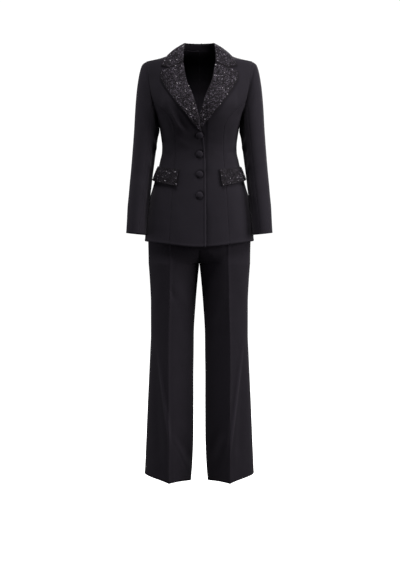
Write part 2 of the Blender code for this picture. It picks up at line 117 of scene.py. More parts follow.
# %% Seams and edges of the jacket
Line = namedtuple("Line", "z x")
FRONT_EDGE = table(Line,
    (0, 64), (-15, 60), (-30, 58.5), (-56, 56), (-89, 50.6), (-124, 42.7), (-150, 31),
    (-179, 20), (-219, 9), (-249, 0.5), (-275, -5), (-284, -7), (-321, -16), (-382, -20),
    (-500, -22), (-675, -23),
)
PRINCESS = table(Line,
    (-187.4, 156), (-200, 142), (-220, 119), (-245, 97), (-276, 84), (-340, 80), (-400, 84),
    (-470, 91), (-540, 95), (-671, 103),
)
BACK_PRINCESS = table(Line,
    (-154, 164), (-170, 146), (-200, 117), (-240, 96), (-300, 80), (-338, 76), (-400, 82),
    (-480, 94), (-560, 104), (-671, 118),
)
ARMHOLE = table(Line,
    (-46, 182), (-60, 177.5), (-80, 173.5), (-107, 171), (-152, 165.5), (-197, 155),
    (-231, 144), (-250, 140), (-262, 139),
)
# Where the princess seams meet the armhole, in degrees round it from its top.
FRONT_PRINCESS_TURN = 108
BACK_PRINCESS_TURN = 90
print("seams: the front edge starts", FRONT_EDGE[0].x, "mm from the centre line")

# %% [markdown]
# ## Curves through the tables
#
# Straight steps between the rows of a table would show as facets. A cubic through
# the rows is smooth, and holding its slope between those of the two steps beside
# each row keeps it from swinging past them. NumPy works on whole arrays of points,
# so a shell of many thousand points takes no time.

# %% Curve helpers
def lerp(start, end, t):
    return start + (end - start) * t


def smooth(t):
    t = np.clip(t, 0.0, 1.0)
    return t * t * (3 - 2 * t)


def hump(distance, reach):
    """A soft bell, one high at distance 0."""
    return np.exp(-(distance / reach) ** 2)


def cubic(start, rise, leave, arrive, t):
    """Rises from start as t goes from 0 to 1. leave and arrive are its end slopes."""
    return start + t * (leave + t * (3 * rise - 2 * leave - arrive + t * (leave + arrive - 2 * rise)))


def follow(places, values, at):
    """A smooth curve through values at rising places, with no overshoot."""
    steps = np.diff(values) / np.diff(places)
    before, after = steps[:-1], steps[1:]
    both = before + after
    mean = 2 * before * after / np.where(both == 0, 1, both)
    slopes = np.concatenate(([steps[0]], np.where(before * after > 0, mean, 0), [steps[-1]]))
    at = np.clip(at, places[0], places[-1])
    k = np.clip(np.searchsorted(places, at, side="right") - 1, 0, len(places) - 2)
    span, rise = places[k + 1] - places[k], values[k + 1] - values[k]
    t = (at - places[k]) / span
    leave, arrive = slopes[k] * span, slopes[k + 1] * span
    return cubic(values[k], rise, leave, arrive, t)


def column_of(rows, column):
    return np.array([getattr(row, column) for row in rows], float)


def at_height(rows, column, z):
    """A column of a table whose rows fall from high to low, at a height."""
    return follow(column_of(rows, "z")[::-1], column_of(rows, column)[::-1], z)


print("curve: the waist is", 2 * float(at_height(BODY, "width", -338.0)), "mm wide")

# %% [markdown]
# ## The form of the jacket
#
# A body is neither an ellipse nor a box in plan. A superellipse lies between the
# two: its power of 2.3 squares the corners a little. The form is asked for by an
# angle round the body and a height, and can be moved out along its own normal.

# %% Jacket form
BUST_FADE = 40.0


def bust(x, z):
    return BUST.rise * hump(np.abs(x) - BUST.x, BUST.reach_x) * hump(z - BUST.z, BUST.reach_z)


def oval(side, ahead, width, depth):
    """How far a superellipse reaches from its middle, towards (side, ahead)."""
    return (np.abs(side / width) ** ROUNDNESS + np.abs(ahead / depth) ** ROUNDNESS) ** (-1 / ROUNDNESS)


def body(angle, z):
    """The jacket's form. The angle is 0 at the centre front and 90 at the left side."""
    turn = np.radians(angle)
    side, ahead = np.sin(turn), np.cos(turn)
    depth = np.where(ahead > 0, at_height(BODY, "front", z), at_height(BODY, "back", z))
    reach = oval(side, ahead, at_height(BODY, "width", z), depth)
    x, y = reach * side, -reach * ahead
    y = y - bust(x, z) * np.clip(-y / BUST_FADE, 0, 1)
    dip = smooth((HEM_DIP_START - z) / (HEM_DIP_START - JACKET_HEM))
    return np.stack([x, y, z - HEM_DIP * np.clip(ahead, 0, 1) ** 2 * dip], axis=-1)


# %% Out of the form
def unit(vectors):
    """The same directions, one long."""
    return vectors / np.maximum(np.linalg.norm(vectors, axis=-1, keepdims=True), 1e-9)


def moved(points, direction, distance):
    return points + direction * np.asarray(distance, float)[..., None]


def body_normal(angle, z):
    """The way out of the form, from a short step round it and a short step up it."""
    along = body(angle + 0.4, z) - body(angle - 0.4, z)
    up = body(angle, np.minimum(z + 1, 0)) - body(angle, z - 1)
    return unit(np.cross(along, up))


def skin(angle, z, out):
    """A point of the jacket's form, moved out along its normal."""
    return moved(body(angle, z), body_normal(angle, z), out)


def angle_at(x, z, back=False):
    """The angle where the form is x from the centre line."""
    width = at_height(BODY, "width", z)
    depth = np.where(back, at_height(BODY, "back", z), at_height(BODY, "front", z))
    share = np.minimum(np.abs(x) / width, 1.0)
    turn = np.degrees(np.arctan2(np.abs(x), depth * (1 - share ** ROUNDNESS) ** (1 / ROUNDNESS)))
    return np.copysign(np.where(back, 180 - turn, turn), x)


print("form: the jacket reaches", round(-float(body(0, UNDERARM)[1])), "mm ahead at the underarm")


# %% Places on the jacket
def turn_height(turn):
    """The height of the armhole at a turn round it, from its top to the underarm."""
    middle, half = (SHOULDER_END + UNDERARM) / 2, (SHOULDER_END - UNDERARM) / 2
    return middle + half * np.cos(np.radians(turn))


def edge_x(z):
    return at_height(FRONT_EDGE, "x", z)


def side_angle(z, shift):
    """The side seam's angle, or the shoulder seam's, with a shift in millimetres."""
    return 90 + np.degrees(shift / at_height(BODY, "width", z))


FRONT_MEET = turn_height(FRONT_PRINCESS_TURN)
BACK_MEET = turn_height(BACK_PRINCESS_TURN)
print("armhole: the princess seams meet it at", round(FRONT_MEET), "and", round(BACK_MEET), "mm")

# %% [markdown]
# ## Folds
#
# Crepe this firm hangs almost flat, and what shows are a few long soft ridges and
# troughs. Simulated cloth puts its folds where it likes, so here each fold is a given
# line, with its own width, depth and bow. It fades out at both
# ends, and a negative depth makes a trough.

# %% Fold tool
Fold = namedtuple("Fold", "x z to_x to_z bow width depth")
FOLD_FADE = 0.4


def relief(folds, x, z):
    """How far the cloth stands off its form at points of its face."""
    height = np.zeros(np.broadcast(x, z).shape)
    for fold in folds:
        run_x, run_z = fold.to_x - fold.x, fold.to_z - fold.z
        long = math.hypot(run_x, run_z)
        t = ((x - fold.x) * run_x + (z - fold.z) * run_z) / long ** 2
        off = ((x - fold.x) * run_z - (z - fold.z) * run_x) / long
        off = off - fold.bow * np.sin(np.pi * np.clip(t, 0, 1))
        height += fold.depth * smooth(t / FOLD_FADE) * smooth((1 - t) / FOLD_FADE) * hump(off, fold.width)
    return height


# %% [markdown]
# ## Shader tools
#
# Node trees read better as sums. A small class wraps a socket and adds a Math node
# for each operator, and one method makes any other node from its type, settings
# and inputs.

# %% Shader helpers
class Wire:
    """A value in a node tree that Python's operators work on."""

    def __init__(self, tree, socket):
        self.tree = tree
        self.socket = socket

    def math(self, operation, first, second=None):
        node = self.tree.nodes.new("ShaderNodeMath")
        node.operation = operation
        join(self.tree, node.inputs[0], first)
        join(self.tree, node.inputs[1], second)
        return Wire(self.tree, node.outputs[0])

    def __abs__(self):
        return self.math("ABSOLUTE", self)

    def __add__(self, other):
        return self.math("ADD", self, other)

    def __sub__(self, other):
        return self.math("SUBTRACT", self, other)

    def __rsub__(self, other):
        return self.math("SUBTRACT", other, self)

    def __mul__(self, other):
        return self.math("MULTIPLY", self, other)

    def __pow__(self, other):
        return self.math("POWER", self, other)

    def __lt__(self, other):
        return self.math("LESS_THAN", self, other)

    __radd__ = __add__
    __rmul__ = __mul__


def join(tree, slot, value):
    if isinstance(value, Wire):
        tree.links.new(value.socket, slot)
    elif value is not None:
        slot.default_value = value


# %% Trees and finishes
class Nodes:
    """A node tree, with one method that adds any node."""

    def __init__(self, tree):
        self.tree = tree

    def add(self, kind, settings=None, inputs=None, output=0):
        node = self.tree.nodes.new(kind)
        for name, value in (settings or {}).items():
            setattr(node, name, value)
        for name, value in (inputs or {}).items():
            join(self.tree, node.inputs[name], value)
        return Wire(self.tree, node.outputs[output]) if node.outputs else None


class Finish(Nodes):
    """A new material. set() gives values or wires to the sockets of its shader."""

    def __init__(self, name):
        self.material = bpy.data.materials.new(name)
        self.material.use_nodes = True
        super().__init__(self.material.node_tree)
        self.shader = self.tree.nodes["Principled BSDF"]

    def set(self, **values):
        for name, value in values.items():
            join(self.tree, self.shader.inputs[name.replace("_", " ")], value)

    def place(self):
        """The object's own coordinates."""
        return self.add("ShaderNodeTexCoord", output=3)

    def mark(self, name):
        """A number that the mesh keeps at each point."""
        return self.add("ShaderNodeAttribute", {"attribute_name": name}, output=2)

    def noise(self, place, scale, detail=2.0, roughness=0.5):
        return self.add("ShaderNodeTexNoise", {}, {
            "Vector": place, "Scale": scale, "Detail": detail, "Roughness": roughness})

    def blend(self, share, first, second):
        return self.add("ShaderNodeMix", {"data_type": "RGBA"}, {0: share, 6: first, 7: second}, 2)

    def bump(self, height, strength, distance):
        return self.add("ShaderNodeBump", {}, {
            "Height": height, "Strength": strength, "Distance": distance})


# %% [markdown]
# ## Crepe
#
# Crepe is woven from hard-twisted yarn that shrinks into a fine pebble, so it drinks
# light instead of shining. Two scales of noise make the pebble as a bump, and a slow
# cloud keeps the black from being one number. Pressed folds and edges, marked by an
# attribute of the mesh, are smoother from the iron's polish and a little paler, which
# is a painted highlight. The last of the sheen comes from fibres that stand off the cloth.

# %% Crepe
CLOUD_SCALE = 22
PEBBLE_SCALE = 1500
YARN_SCALE = 520


def shade(black, gain):
    return tuple(channel * gain for channel in black) + (1,)


def crepe(name, black, highlight_gain):
    """Crepe of one black. The last argument is how much paler it is painted where it was pressed, a painted
    highlight.
    """
    made = Finish(name)
    press_and_highlight = made.mark("press_and_highlight")
    cloud = made.noise(made.place(), CLOUD_SCALE, 3)
    pebble = made.noise(made.place(), PEBBLE_SCALE, 2, 0.6)
    yarn = made.noise(made.place(), YARN_SCALE, 1)
    colour = made.blend(cloud * 0.6 + pebble * 0.4, shade(black, 0.82), shade(black, 1.16))
    made.set(
        # Where the mark is high the crepe is paler, a painted highlight, as well as smoother from the
        # iron's polish.
        Base_Color=made.blend(press_and_highlight * 0.8, colour, shade(black, highlight_gain)),
        Roughness=0.93 - press_and_highlight * 0.18 - cloud * 0.06,
        Normal=made.bump(pebble * 0.6 + yarn * 0.4, 0.35, 0.25 * MM),
        Specular_IOR_Level=0.09,
        Sheen_Weight=0.055,
        Sheen_Roughness=0.45,
        Sheen_Tint=(0.80, 0.74, 0.84, 1),
    )
    return made.material


JACKET_BLACK = (0.0112, 0.0096, 0.0131)
TROUSER_BLACK = (0.0101, 0.0085, 0.0118)
jacket_crepe = crepe("jacket crepe", JACKET_BLACK, 1.4)
trouser_crepe = crepe("trouser crepe", TROUSER_BLACK, 1.7)
print("crepe:", jacket_crepe.name, "and", trouser_crepe.name)

# %% [markdown]
# ## A shell of cloth
#
# One helper makes every cloth piece. It starts as a flat grid, is extruded into a
# thin slab while its normals are easy to set right, and then each point is placed on
# the garment by a function of how far across (u), along (v) and inward (depth) it
# lies. A bevel rounds the rim, because a cut edge of cloth is always turned in.

# %% Cloth shell
RIM_ANGLE = 62
RIM_SHARE = 0.42


def object_from(name, bm, materials):
    """An object at the origin from a bmesh in millimetres."""
    mesh = bpy.data.meshes.new(name)
    bm.to_mesh(mesh)
    bm.free()
    mesh.transform(Matrix.Scale(MM, 4))
    for surface in materials:
        mesh.materials.append(surface)
    mesh.shade_smooth()
    made = bpy.data.objects.new(name, mesh)
    bpy.context.collection.objects.link(made)
    return made


def cloth(node, place, columns, rows, wall, surface, press_and_highlight=None):
    """A shell in place of a solid. place(u, v, depth) gives points of the piece."""
    bm = bmesh.new()
    bmesh.ops.create_grid(bm, x_segments=columns, y_segments=rows, size=0.5)
    top = bmesh.ops.extrude_face_region(bm, geom=bm.faces[:])
    for vert in [item for item in top["geom"] if isinstance(item, bmesh.types.BMVert)]:
        vert.co.z = wall
    bmesh.ops.recalc_face_normals(bm, faces=bm.faces)
    flat = np.array([vert.co for vert in bm.verts])
    u, v, depth = np.clip(flat[:, 0] + 0.5, 0, 1), np.clip(flat[:, 1] + 0.5, 0, 1), flat[:, 2]
    # Each point keeps a press mark, which the crepe turns into polish and a painted highlight.
    layer = bm.verts.layers.float.new("press_and_highlight")
    marks = press_and_highlight(u, v) if press_and_highlight else np.zeros(len(u))
    for vert, point, mark in zip(bm.verts, place(u, v, depth), marks):
        vert.co = point
        vert[layer] = mark
    if bm.calc_volume(signed=True) < 0:
        bmesh.ops.reverse_faces(bm, faces=bm.faces)
    rim = [edge for edge in bm.edges if edge.calc_face_angle(0) > math.radians(RIM_ANGLE)]
    bmesh.ops.bevel(bm, geom=rim, offset=wall * RIM_SHARE, segments=2, affect="EDGES",
                    profile=0.5, material=-1)
    return object_from(f"{node}_cloth", bm, [surface])


# %% Dressing a solid
def dress(node, made, with_pieces=()):
    """Hides a solid and attaches its cloth piece, and any pieces on it, to the root."""
    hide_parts(node)
    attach(made, "root")
    for piece in with_pieces:
        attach(piece, "root")
    print(node, len(made.data.polygons), "faces")


# %% Rows and columns
COLUMN_PULL = 0.72
FOLD_CLEAR = 16.0


def levels(*stretches):
    """Heights for the rows of a piece: each stretch is (height, rows up to the next)."""
    heights = []
    for (start, count), (end, _) in zip(stretches, stretches[1:]):
        heights += [lerp(start, end, k / count) for k in range(count)]
    return np.array(heights + [stretches[-1][0]])


def between(steps, share):
    """A value part of the way through evenly counted steps."""
    return np.interp(share, np.linspace(0, 1, len(steps)), steps)


def closer_at_ends(u):
    """Moves columns towards both borders, where the seam's roll needs them."""
    return lerp(u, smooth(u), COLUMN_PULL)


def clear_of_seams(u, wide):
    """Folds fade out towards both seams of a piece that is so many millimetres wide."""
    return smooth(u * wide / FOLD_CLEAR) * smooth((1 - u) * wide / FOLD_CLEAR)


# %% [markdown]
# ## The jacket's body
#
# Princess seams shape this jacket: each side has a front, a side front, a side back
# and a back. At a seam the cloth rolls down a little into the stitches. At the front
# edge it is folded round its facing, so it stands up as a pressed ridge instead.

# %% Folds of the jacket
SEAM_SINK = 0.8
SEAM_REACH = 1.8
EDGE_RIDGE = 2.0
EDGE_HOLLOW = 0.5
EDGE_IN = 3.0
HOLLOW_IN = 9.0
HEM_ROLL = 0.9

FRONT_FOLDS = table(Fold,
    (118, -168, 128, -290, -5, 13, 2.4), (140, -214, 112, -262, 3, 9, -2.0),
    (96, -262, 88, -352, 3, 14, -1.4), (126, -318, 96, -352, -2, 9, 1.7),
    (132, -352, 92, -372, 2, 8, -1.5), (60, -330, 44, -372, 4, 11, 1.0),
    (120, -500, 128, -640, 4, 17, 2.2), (60, -520, 66, -660, -3, 20, 1.5),
    (-120, -172, -130, -282, 5, 14, 2.0), (-138, -210, -108, -268, -4, 10, -2.2),
    (-103, -188, -50, -300, 8, 6, 5.6), (-80, -200, -32, -302, 7, 8, -4.4),
    (-112, -236, -52, -318, 8, 7, -3.4), (-100, -318, -22, -344, -3, 11, 1.5),
    (-128, -330, -92, -358, 3, 9, 1.6), (-116, -362, -84, -384, 2, 8, -1.2),
    (-128, -500, -134, -640, -4, 16, 2.0), (-66, -530, -72, -655, 3, 22, 1.3),
    (136, -120, 128, -262, 4, 8, -2.0), (-138, -116, -130, -258, -4, 9, -2.4),
)
BACK_FOLDS = table(Fold,
    (128, -150, 104, -262, -6, 14, 2.6), (-130, -158, -110, -258, 6, 13, 2.4),
    (96, -190, 84, -282, -3, 11, -1.8), (-98, -196, -82, -276, 4, 12, -1.6),
    (20, -318, 96, -346, 4, 8, 1.8), (-16, -326, -92, -352, -3, 9, 1.6),
    (26, -350, 88, -366, -3, 7, -1.3), (-30, -356, -84, -376, 2, 8, -1.4),
    (60, -470, 72, -640, 4, 20, 2.2), (-66, -480, -74, -645, -4, 18, 2.0),
    (128, -480, 134, -640, -3, 15, 1.8), (-126, -490, -136, -640, 3, 17, 1.6),
)
print("folds:", len(FRONT_FOLDS), "in front and", len(BACK_FOLDS), "behind")


# %% Borders of the jacket's panels
def outer_edge(seam, meet, back):
    """A centre panel's outer border: princess seam, armhole, then shoulder seam."""
    shift = SEAM / 2 if back else -SEAM / 2

    def angle(z):
        seam_side = angle_at(at_height(seam, "x", z) - SEAM / 2, z, back)
        arm_side = angle_at(at_height(ARMHOLE, "x", z) - SEAM, z, back)
        upper = np.where(z < SHOULDER_END - 0.01, arm_side, side_angle(z, shift))
        return np.where(z < meet + 0.01, seam_side, upper)

    return angle


def side_outer(back):
    """A side panel's outer border: side seam, then armhole."""
    shift = SEAM / 2 if back else -SEAM / 2

    def angle(z):
        arm_side = angle_at(at_height(ARMHOLE, "x", z) - SEAM, z, back)
        return np.where(z <= UNDERARM, side_angle(z, shift), arm_side)

    return angle


def inner_seam(seam, back):
    return lambda z: angle_at(at_height(seam, "x", z) + SEAM / 2, z, back)


def front_edge(z):
    return angle_at(edge_x(z), z)


def centre_back(z):
    return 180 - np.degrees(SEAM / 2 / at_height(BODY, "back", z))


# %% Overlap, buttons and hem
UNDERLAP = 2.2
UNDERLAP_TO = 30.0
SAG = 3.0
SAG_TO = 46.0
HEM_SAG_START = -520.0
BUTTON_SAG_LEVEL = -424.0
BUTTON_X = 0.8
BUTTON_LEVELS = (-303.0, -366.0, -434.0, -502.0)
PULL_RADIUS = 12.6
PULL_REACH = 2.4
PULL_DEPTH = 2.4


def under(x, z):
    """The left front passes under the right one round the centre line. It sags a
    little deeper near the third button and towards the hem."""
    sag = smooth((HEM_SAG_START - z) / 60) + 0.7 * hump(z - BUTTON_SAG_LEVEL, 20)
    return -UNDERLAP * smooth((UNDERLAP_TO - x) / 9) - SAG * sag * smooth((SAG_TO - x) / 25)


def button_pull(x, z):
    """The cloth sinks in a ring round each button, where its shank draws it in."""
    rings = [hump(np.hypot(x - BUTTON_X, z - level) - PULL_RADIUS, PULL_REACH) for level in BUTTON_LEVELS]
    return PULL_DEPTH * sum(rings)


def hem_roll(height):
    """A turned-up hem stands out a little and rolls in at the very edge."""
    return HEM_ROLL * (hump(height - 4, 2.6) - 0.8 * hump(height, 1.6))


print("overlap: the left front lies", round(-float(under(BUTTON_X, -600.0)), 1), "mm under near the hem")


# %% Jacket panels
FRONT_WIDE = 110.0
FOLD_TOP = -20.0


def panel_place(side, heights, inner, outer, folds, edge):
    """The place function of a jacket panel. edge says that it starts at the front edge."""

    def place(u, v, depth):
        z = between(heights, v)
        first, last = inner(z), outer(z)
        wide = np.linalg.norm(body(first, z) - body(last, z), axis=-1)
        u = closer_at_ends(u)
        angle = lerp(first, last, u)
        x = body(angle, z)[:, 0]
        seams = hump((1 - u) * wide, SEAM_REACH) + (0 if edge else hump(u * wide, SEAM_REACH))
        borders = clear_of_seams(u, wide) * smooth((FOLD_TOP - z) / 60)
        out = relief(folds, side * x, z) * borders - SEAM_SINK * seams
        if edge:
            out = out + EDGE_RIDGE * hump(u * wide - EDGE_IN, 3.0)
            out = out - EDGE_HOLLOW * hump(u * wide - HOLLOW_IN, 3.5) - button_pull(side * x, z)
        if edge and side > 0:
            out = out + under(x, z)
        point = skin(angle, z, out + hem_roll(z - JACKET_HEM) - depth)
        point[:, 0] *= side
        return point

    return place


# The pressed front edge is marked for the crepe: smoother from the iron, and paler as a painted highlight
# where the edge catches the light.
def edge_press_and_highlight(u, v):
    return hump(closer_at_ends(u) * FRONT_WIDE - EDGE_IN, 3)


# %% Build the jacket's body
HEM_TOP = JACKET_HEM + 8
HEM_ROWS = ((JACKET_HEM, 4), (HEM_TOP, 56))
PANELS = (
    ("front", levels(HEM_ROWS[0], (HEM_TOP, 170), (FRONT_MEET, 20), (SHOULDER_END, 12), (-4, 0)),
     front_edge, outer_edge(PRINCESS, FRONT_MEET, False), FRONT_FOLDS, 44, (0.21, 0.69), 0.086),
    ("side_front", levels(*HEM_ROWS, (UNDERARM, 14), (FRONT_MEET, 0)),
     inner_seam(PRINCESS, False), side_outer(False), FRONT_FOLDS, 30, (0.13, 0.50), 0.054),
    ("side_back", levels(*HEM_ROWS, (UNDERARM, 18), (BACK_MEET, 0)),
     inner_seam(BACK_PRINCESS, True), side_outer(True), BACK_FOLDS, 30, (0.13, 0.52), 0.055),
    ("back", levels(HEM_ROWS[0], (HEM_TOP, 66), (BACK_MEET, 16), (SHOULDER_END, 12), (-1, 0)),
     outer_edge(BACK_PRINCESS, BACK_MEET, True), centre_back, BACK_FOLDS, 40, (0.20, 0.68), 0.085),
)

for side, hand in HANDS:
    for panel, heights, inner, outer, folds, columns, flat, area in PANELS:
        edge = panel == "front"
        node = f"jacket_{panel}_{hand}"
        place = panel_place(side, heights, inner, outer, folds, edge)
        shell = cloth(node, place, columns, len(heights) - 1, JACKET_WALL, jacket_crepe,
                      edge_press_and_highlight if edge else None)
        dress(node, shell)

# %% [markdown]
# ## Sleeves
#
# A tailored sleeve has two pieces, a wide top one and a narrow under one, that meet
# in a front and a back seam. It starts from the slanting armhole and ends in a level
# cuff, so its rings turn from one plane to the other. The head of the sleeve is
# eased into the armhole and stands up as a slight roll over the seam.

# %% Measures and folds of the sleeves
Sleeve = namedtuple("Sleeve", "inner_x inner_z outer_x outer_z front back middle")
SLEEVE = table(Sleeve,
    (140.6, -264, 190, -50.5, 48, 52, 0), (140.8, -268, 198, -60, 53, 58, 0),
    (140.4, -274, 206.5, -90, 58, 63, 0), (139.8, -283, 214.3, -140, 61, 66, 0),
    (141.2, -298, 220, -205, 62, 66, 0), (146.5, -335, 224.2, -280, 60, 63, -3),
    (153, -385, 229.2, -350, 57, 60, -8), (160, -440, 234.3, -415, 54, 57, -16),
    (164.6, -483, 239.2, -470, 52, 54, -26), (172.6, -540, 244, -532, 49, 51, -36),
    (178.6, -590, 247.2, -585, 47, 49, -44), (181.6, -638, 249.7, -631, 46, 48, -50),
)
SLEEVE_SEAM = 108
SLEEVE_RADIUS = 55.0
HEAD_ROLL = 0.2

SLEEVE_FOLDS = table(Fold,
    (60, -120, 112, -215, 6, 10, -2.2), (96, -150, 150, -262, -6, 12, 2.4),
    (-70, -130, -118, -230, 5, 12, -2.0), (120, -300, 196, -352, 5, 9, 2.6),
    (116, -336, 186, -384, -4, 8, -2.2), (100, -372, 176, -424, 5, 10, 2.2),
    (30, -330, 70, -430, 5, 13, 1.4), (-30, -350, -64, -470, -5, 14, 1.6),
    (84, -450, 140, -540, -5, 12, 1.6), (-90, -420, -130, -520, 5, 12, -1.6),
    (10, -500, 34, -610, 4, 13, 1.2), (146, -70, 150, -400, 2, 14, -5.0),
    (150, -280, 146, -640, -2, 14, -5.0),
    (177, -244, 177, -306, 0, 16, 3.2), (-177, -244, -177, -306, 0, 16, 3.2),
)
print("sleeve:", len(SLEEVE), "rings and", len(SLEEVE_FOLDS), "folds")

# %% Sleeve form
RING = {name: column_of(SLEEVE, name) for name in Sleeve._fields}


def armhole(phi):
    """The armhole's seam: 0 is its top, 90 its front and 180 the underarm."""
    z = turn_height(phi)
    return angle_at(at_height(ARMHOLE, "x", z), z, np.sin(np.radians(phi)) < 0), z


def sleeve_ring(k, phi):
    turn = np.radians(phi)
    ring = {name: values[np.clip(k, 1, len(SLEEVE)) - 1] for name, values in RING.items()}
    reach = (1 + np.cos(turn)) / 2
    depth = np.where(np.sin(turn) > 0, ring["front"], ring["back"])
    below = np.stack([lerp(ring["inner_x"], ring["outer_x"], reach), ring["middle"] - depth * np.sin(turn),
                      lerp(ring["inner_z"], ring["outer_z"], reach)], axis=-1)
    return np.where((k <= 0)[:, None], body(*armhole(phi)), below)


def sleeve_point(phi, at):
    """A point of the sleeve on a smooth curve through its rings."""
    k = np.minimum(at.astype(int), len(SLEEVE) - 1)
    t = (at - k)[:, None]
    before, start, end, after = (sleeve_ring(np.maximum(k + step, 0), phi) for step in (-1, 0, 1, 2))
    leave = np.where((k > 0)[:, None], (end - before) / 2, end - start)
    arrive = np.where((k + 1 < len(SLEEVE))[:, None], (after - start) / 2, end - start)
    rise = end - start
    return cubic(start, rise, leave, arrive, t)


def sleeve_normal(phi, at):
    low, high = np.maximum(at - 0.05, 0), np.minimum(at + 0.05, len(SLEEVE))
    around = sleeve_point(phi + 1, at) - sleeve_point(phi - 1, at)
    down = sleeve_point(phi, high) - sleeve_point(phi, low)
    seat = body_normal(*armhole(phi))
    return unit(lerp(seat, unit(np.cross(around, down)), smooth(at)[:, None]))


print("sleeve: the cuff's outer edge is", SLEEVE[-1].outer_x, "mm from the centre line")


# %% Build the sleeves
def sleeve_place(side, start, end):
    gap = np.degrees(SEAM / 2 / SLEEVE_RADIUS)
    wide = np.radians(end - start) * SLEEVE_RADIUS

    def place(u, v, depth):
        u = closer_at_ends(u)
        phi = lerp(start + gap, end - gap, u)
        at = v * len(SLEEVE)
        point = sleeve_point(phi, at)
        seams = hump(u * wide, SEAM_REACH) + hump((1 - u) * wide, SEAM_REACH) + hump(at, 0.3)
        head = smooth(at / 0.6) * smooth((1.8 - at) / 1.2) * np.clip(np.cos(np.radians(phi)), 0, 1)
        turned = (phi + 180) % 360 - 180
        out = relief(SLEEVE_FOLDS, turned, point[:, 2]) * clear_of_seams(u, wide)
        out = out + HEAD_ROLL * head - SEAM_SINK * np.minimum(seams, 1)
        point = moved(point, sleeve_normal(phi, at), out - depth)
        point[:, 0] *= side
        return point

    return place


for side, hand in HANDS:
    for name, start, end, columns, flat, area in (
            ("sleeve_top", -SLEEVE_SEAM, SLEEVE_SEAM, 44, (0.21, 0.61), 0.096),
            ("sleeve_under", SLEEVE_SEAM, 360 - SLEEVE_SEAM, 32, (0.14, 0.46), 0.051)):
        node = f"{name}_{hand}"
        shell = cloth(node, sleeve_place(side, start, end), columns, 96, JACKET_WALL, jacket_crepe)
        dress(node, shell)

# %% [markdown]
# ## Trousers
#
# Each leg has a front and a back with a crease pressed down the middle. Above the
# fork the pieces follow the seat. Below it each leg is its own tube, and the crease
# is a low edge that the iron has also polished, with a painted highlight along it.

# %% Measures of the trousers
WAIST_TOP = -400.0
WAIST_BAND = 35.0
FORK = -735.0
FORK_START = -655.0
TROUSER_HEM = -1459.0
HEM_DROP_START = -1207.0
HEM_INNER_DROP = 28.0
HEM_OUTER_DROP = 2.0
HEM_CREASE_DROP = 9.0

Seat = namedtuple("Seat", "z width front back")
SEAT = table(Seat,
    (-400, 131, 92, 90), (-421, 139, 95, 97), (-442, 146.5, 98, 104), (-462, 153.6, 100, 108),
    (-483, 160, 101.5, 111.5), (-520, 166.5, 103, 115), (-560, 168.5, 104, 118),
    (-655, 176.5, 105, 121), (-690, 176, 104, 119), (-735, 175.2, 101, 116),
)
Leg = namedtuple("Leg", "z inner outer crease front back point")
LEG = table(Leg,
    (-735, 0, 175.2, 98, 94, 107, 0.06), (-793, 6, 171, 100, 93, 103, 0.14),
    (-876, 13, 167.5, 101, 92, 101, 0.2), (-980, 19, 167.5, 104, 91, 98, 0.24),
    (-1042, 19.5, 170, 105, 93, 98, 0.25), (-1125, 20.5, 174, 105, 96, 100, 0.26),
    (-1207, 20, 178.2, 104, 99, 102, 0.27), (-1311, 20.3, 182.8, 104, 102, 105, 0.28),
    (-1394, 23.5, 186.4, 104, 104, 107, 0.28), (-1459, 29, 189.5, 104, 106, 109, 0.28),
)
print("trousers: the fork is at", FORK, "mm and the hem starts at", TROUSER_HEM, "mm")

# %% Folds of the trousers
# Lines along the crests of the sharpest folds, which are painted paler as a highlight.
FOLD_HIGHLIGHT_LINES = table(Fold,
    (-147, -1000, -90, -1410, 0, 5, 1.0), (152, -1000, 94, -1420, 1, 5, 1.0),
    (-104, -1310, -34, -1456, -3, 4, 0.5),
)

TROUSER_FRONT_FOLDS = table(Fold,
    (-149, -965, -88, -1430, 0, 6.4, 6.5), (-160, -1030, -122, -1540, 2, 14, -5.0),
    (-104, -1300, -32, -1458, -3, 6, 2.6), (-80, -1310, -20, -1440, -4, 10, -2.0),
    (-96, -806, -80, -872, 2, 7, -2.4), (-70, -790, -46, -900, 4, 12, 1.8),
    (-60, -930, -52, -1120, -4, 14, 1.6), (-136, -760, -146, -900, -4, 13, 1.6),
    (154, -965, 92, -1440, 1, 6.2, 9.6), (142, -960, 96, -1320, -6, 12, -1.6),
    (158, -1000, 130, -1540, 2, 12, -4.6),
    (96, -1300, 56, -1448, 4, 10, 3.2), (74, -1280, 36, -1420, 3, 10, -2.4),
    (60, -800, 44, -960, -4, 13, -2.0), (76, -860, 66, -1080, 4, 13, 1.6),
    (140, -730, 150, -880, 4, 14, 1.8), (128, -1350, 134, -1452, 3, 12, 1.8),
    (-134, -1360, -142, -1452, -3, 12, 1.6), (16, -668, 60, -720, 3, 9, 1.8),
    (-20, -672, -66, -716, -3, 9, 1.6),
)
TROUSER_BACK_FOLDS = table(Fold,
    (-20, -690, -92, -770, -6, 12, 3.2), (24, -694, 88, -782, 6, 13, 3.0),
    (-24, -722, -80, -812, -5, 10, -2.8), (22, -726, 74, -806, 5, 10, -2.6),
    (-52, -860, -132, -1010, -7, 14, 3.0), (58, -880, 134, -1000, 6, 13, 2.8),
    (-146, -1010, -84, -1250, 7, 12, 3.6), (150, -1000, 92, -1270, -7, 13, 3.8),
    (-70, -1270, -30, -1440, -5, 12, 2.8), (82, -1280, 44, -1446, 5, 11, 2.6),
    (-118, -1200, -146, -1440, -5, 14, 2.4), (120, -1190, 140, -1430, 5, 15, 2.2),
)
print("trouser folds:", len(TROUSER_FRONT_FOLDS), "in front and", len(TROUSER_BACK_FOLDS), "behind")


# %% Trouser form
def leg_value(column, z):
    return at_height(LEG, column, np.clip(z, TROUSER_HEM, FORK))


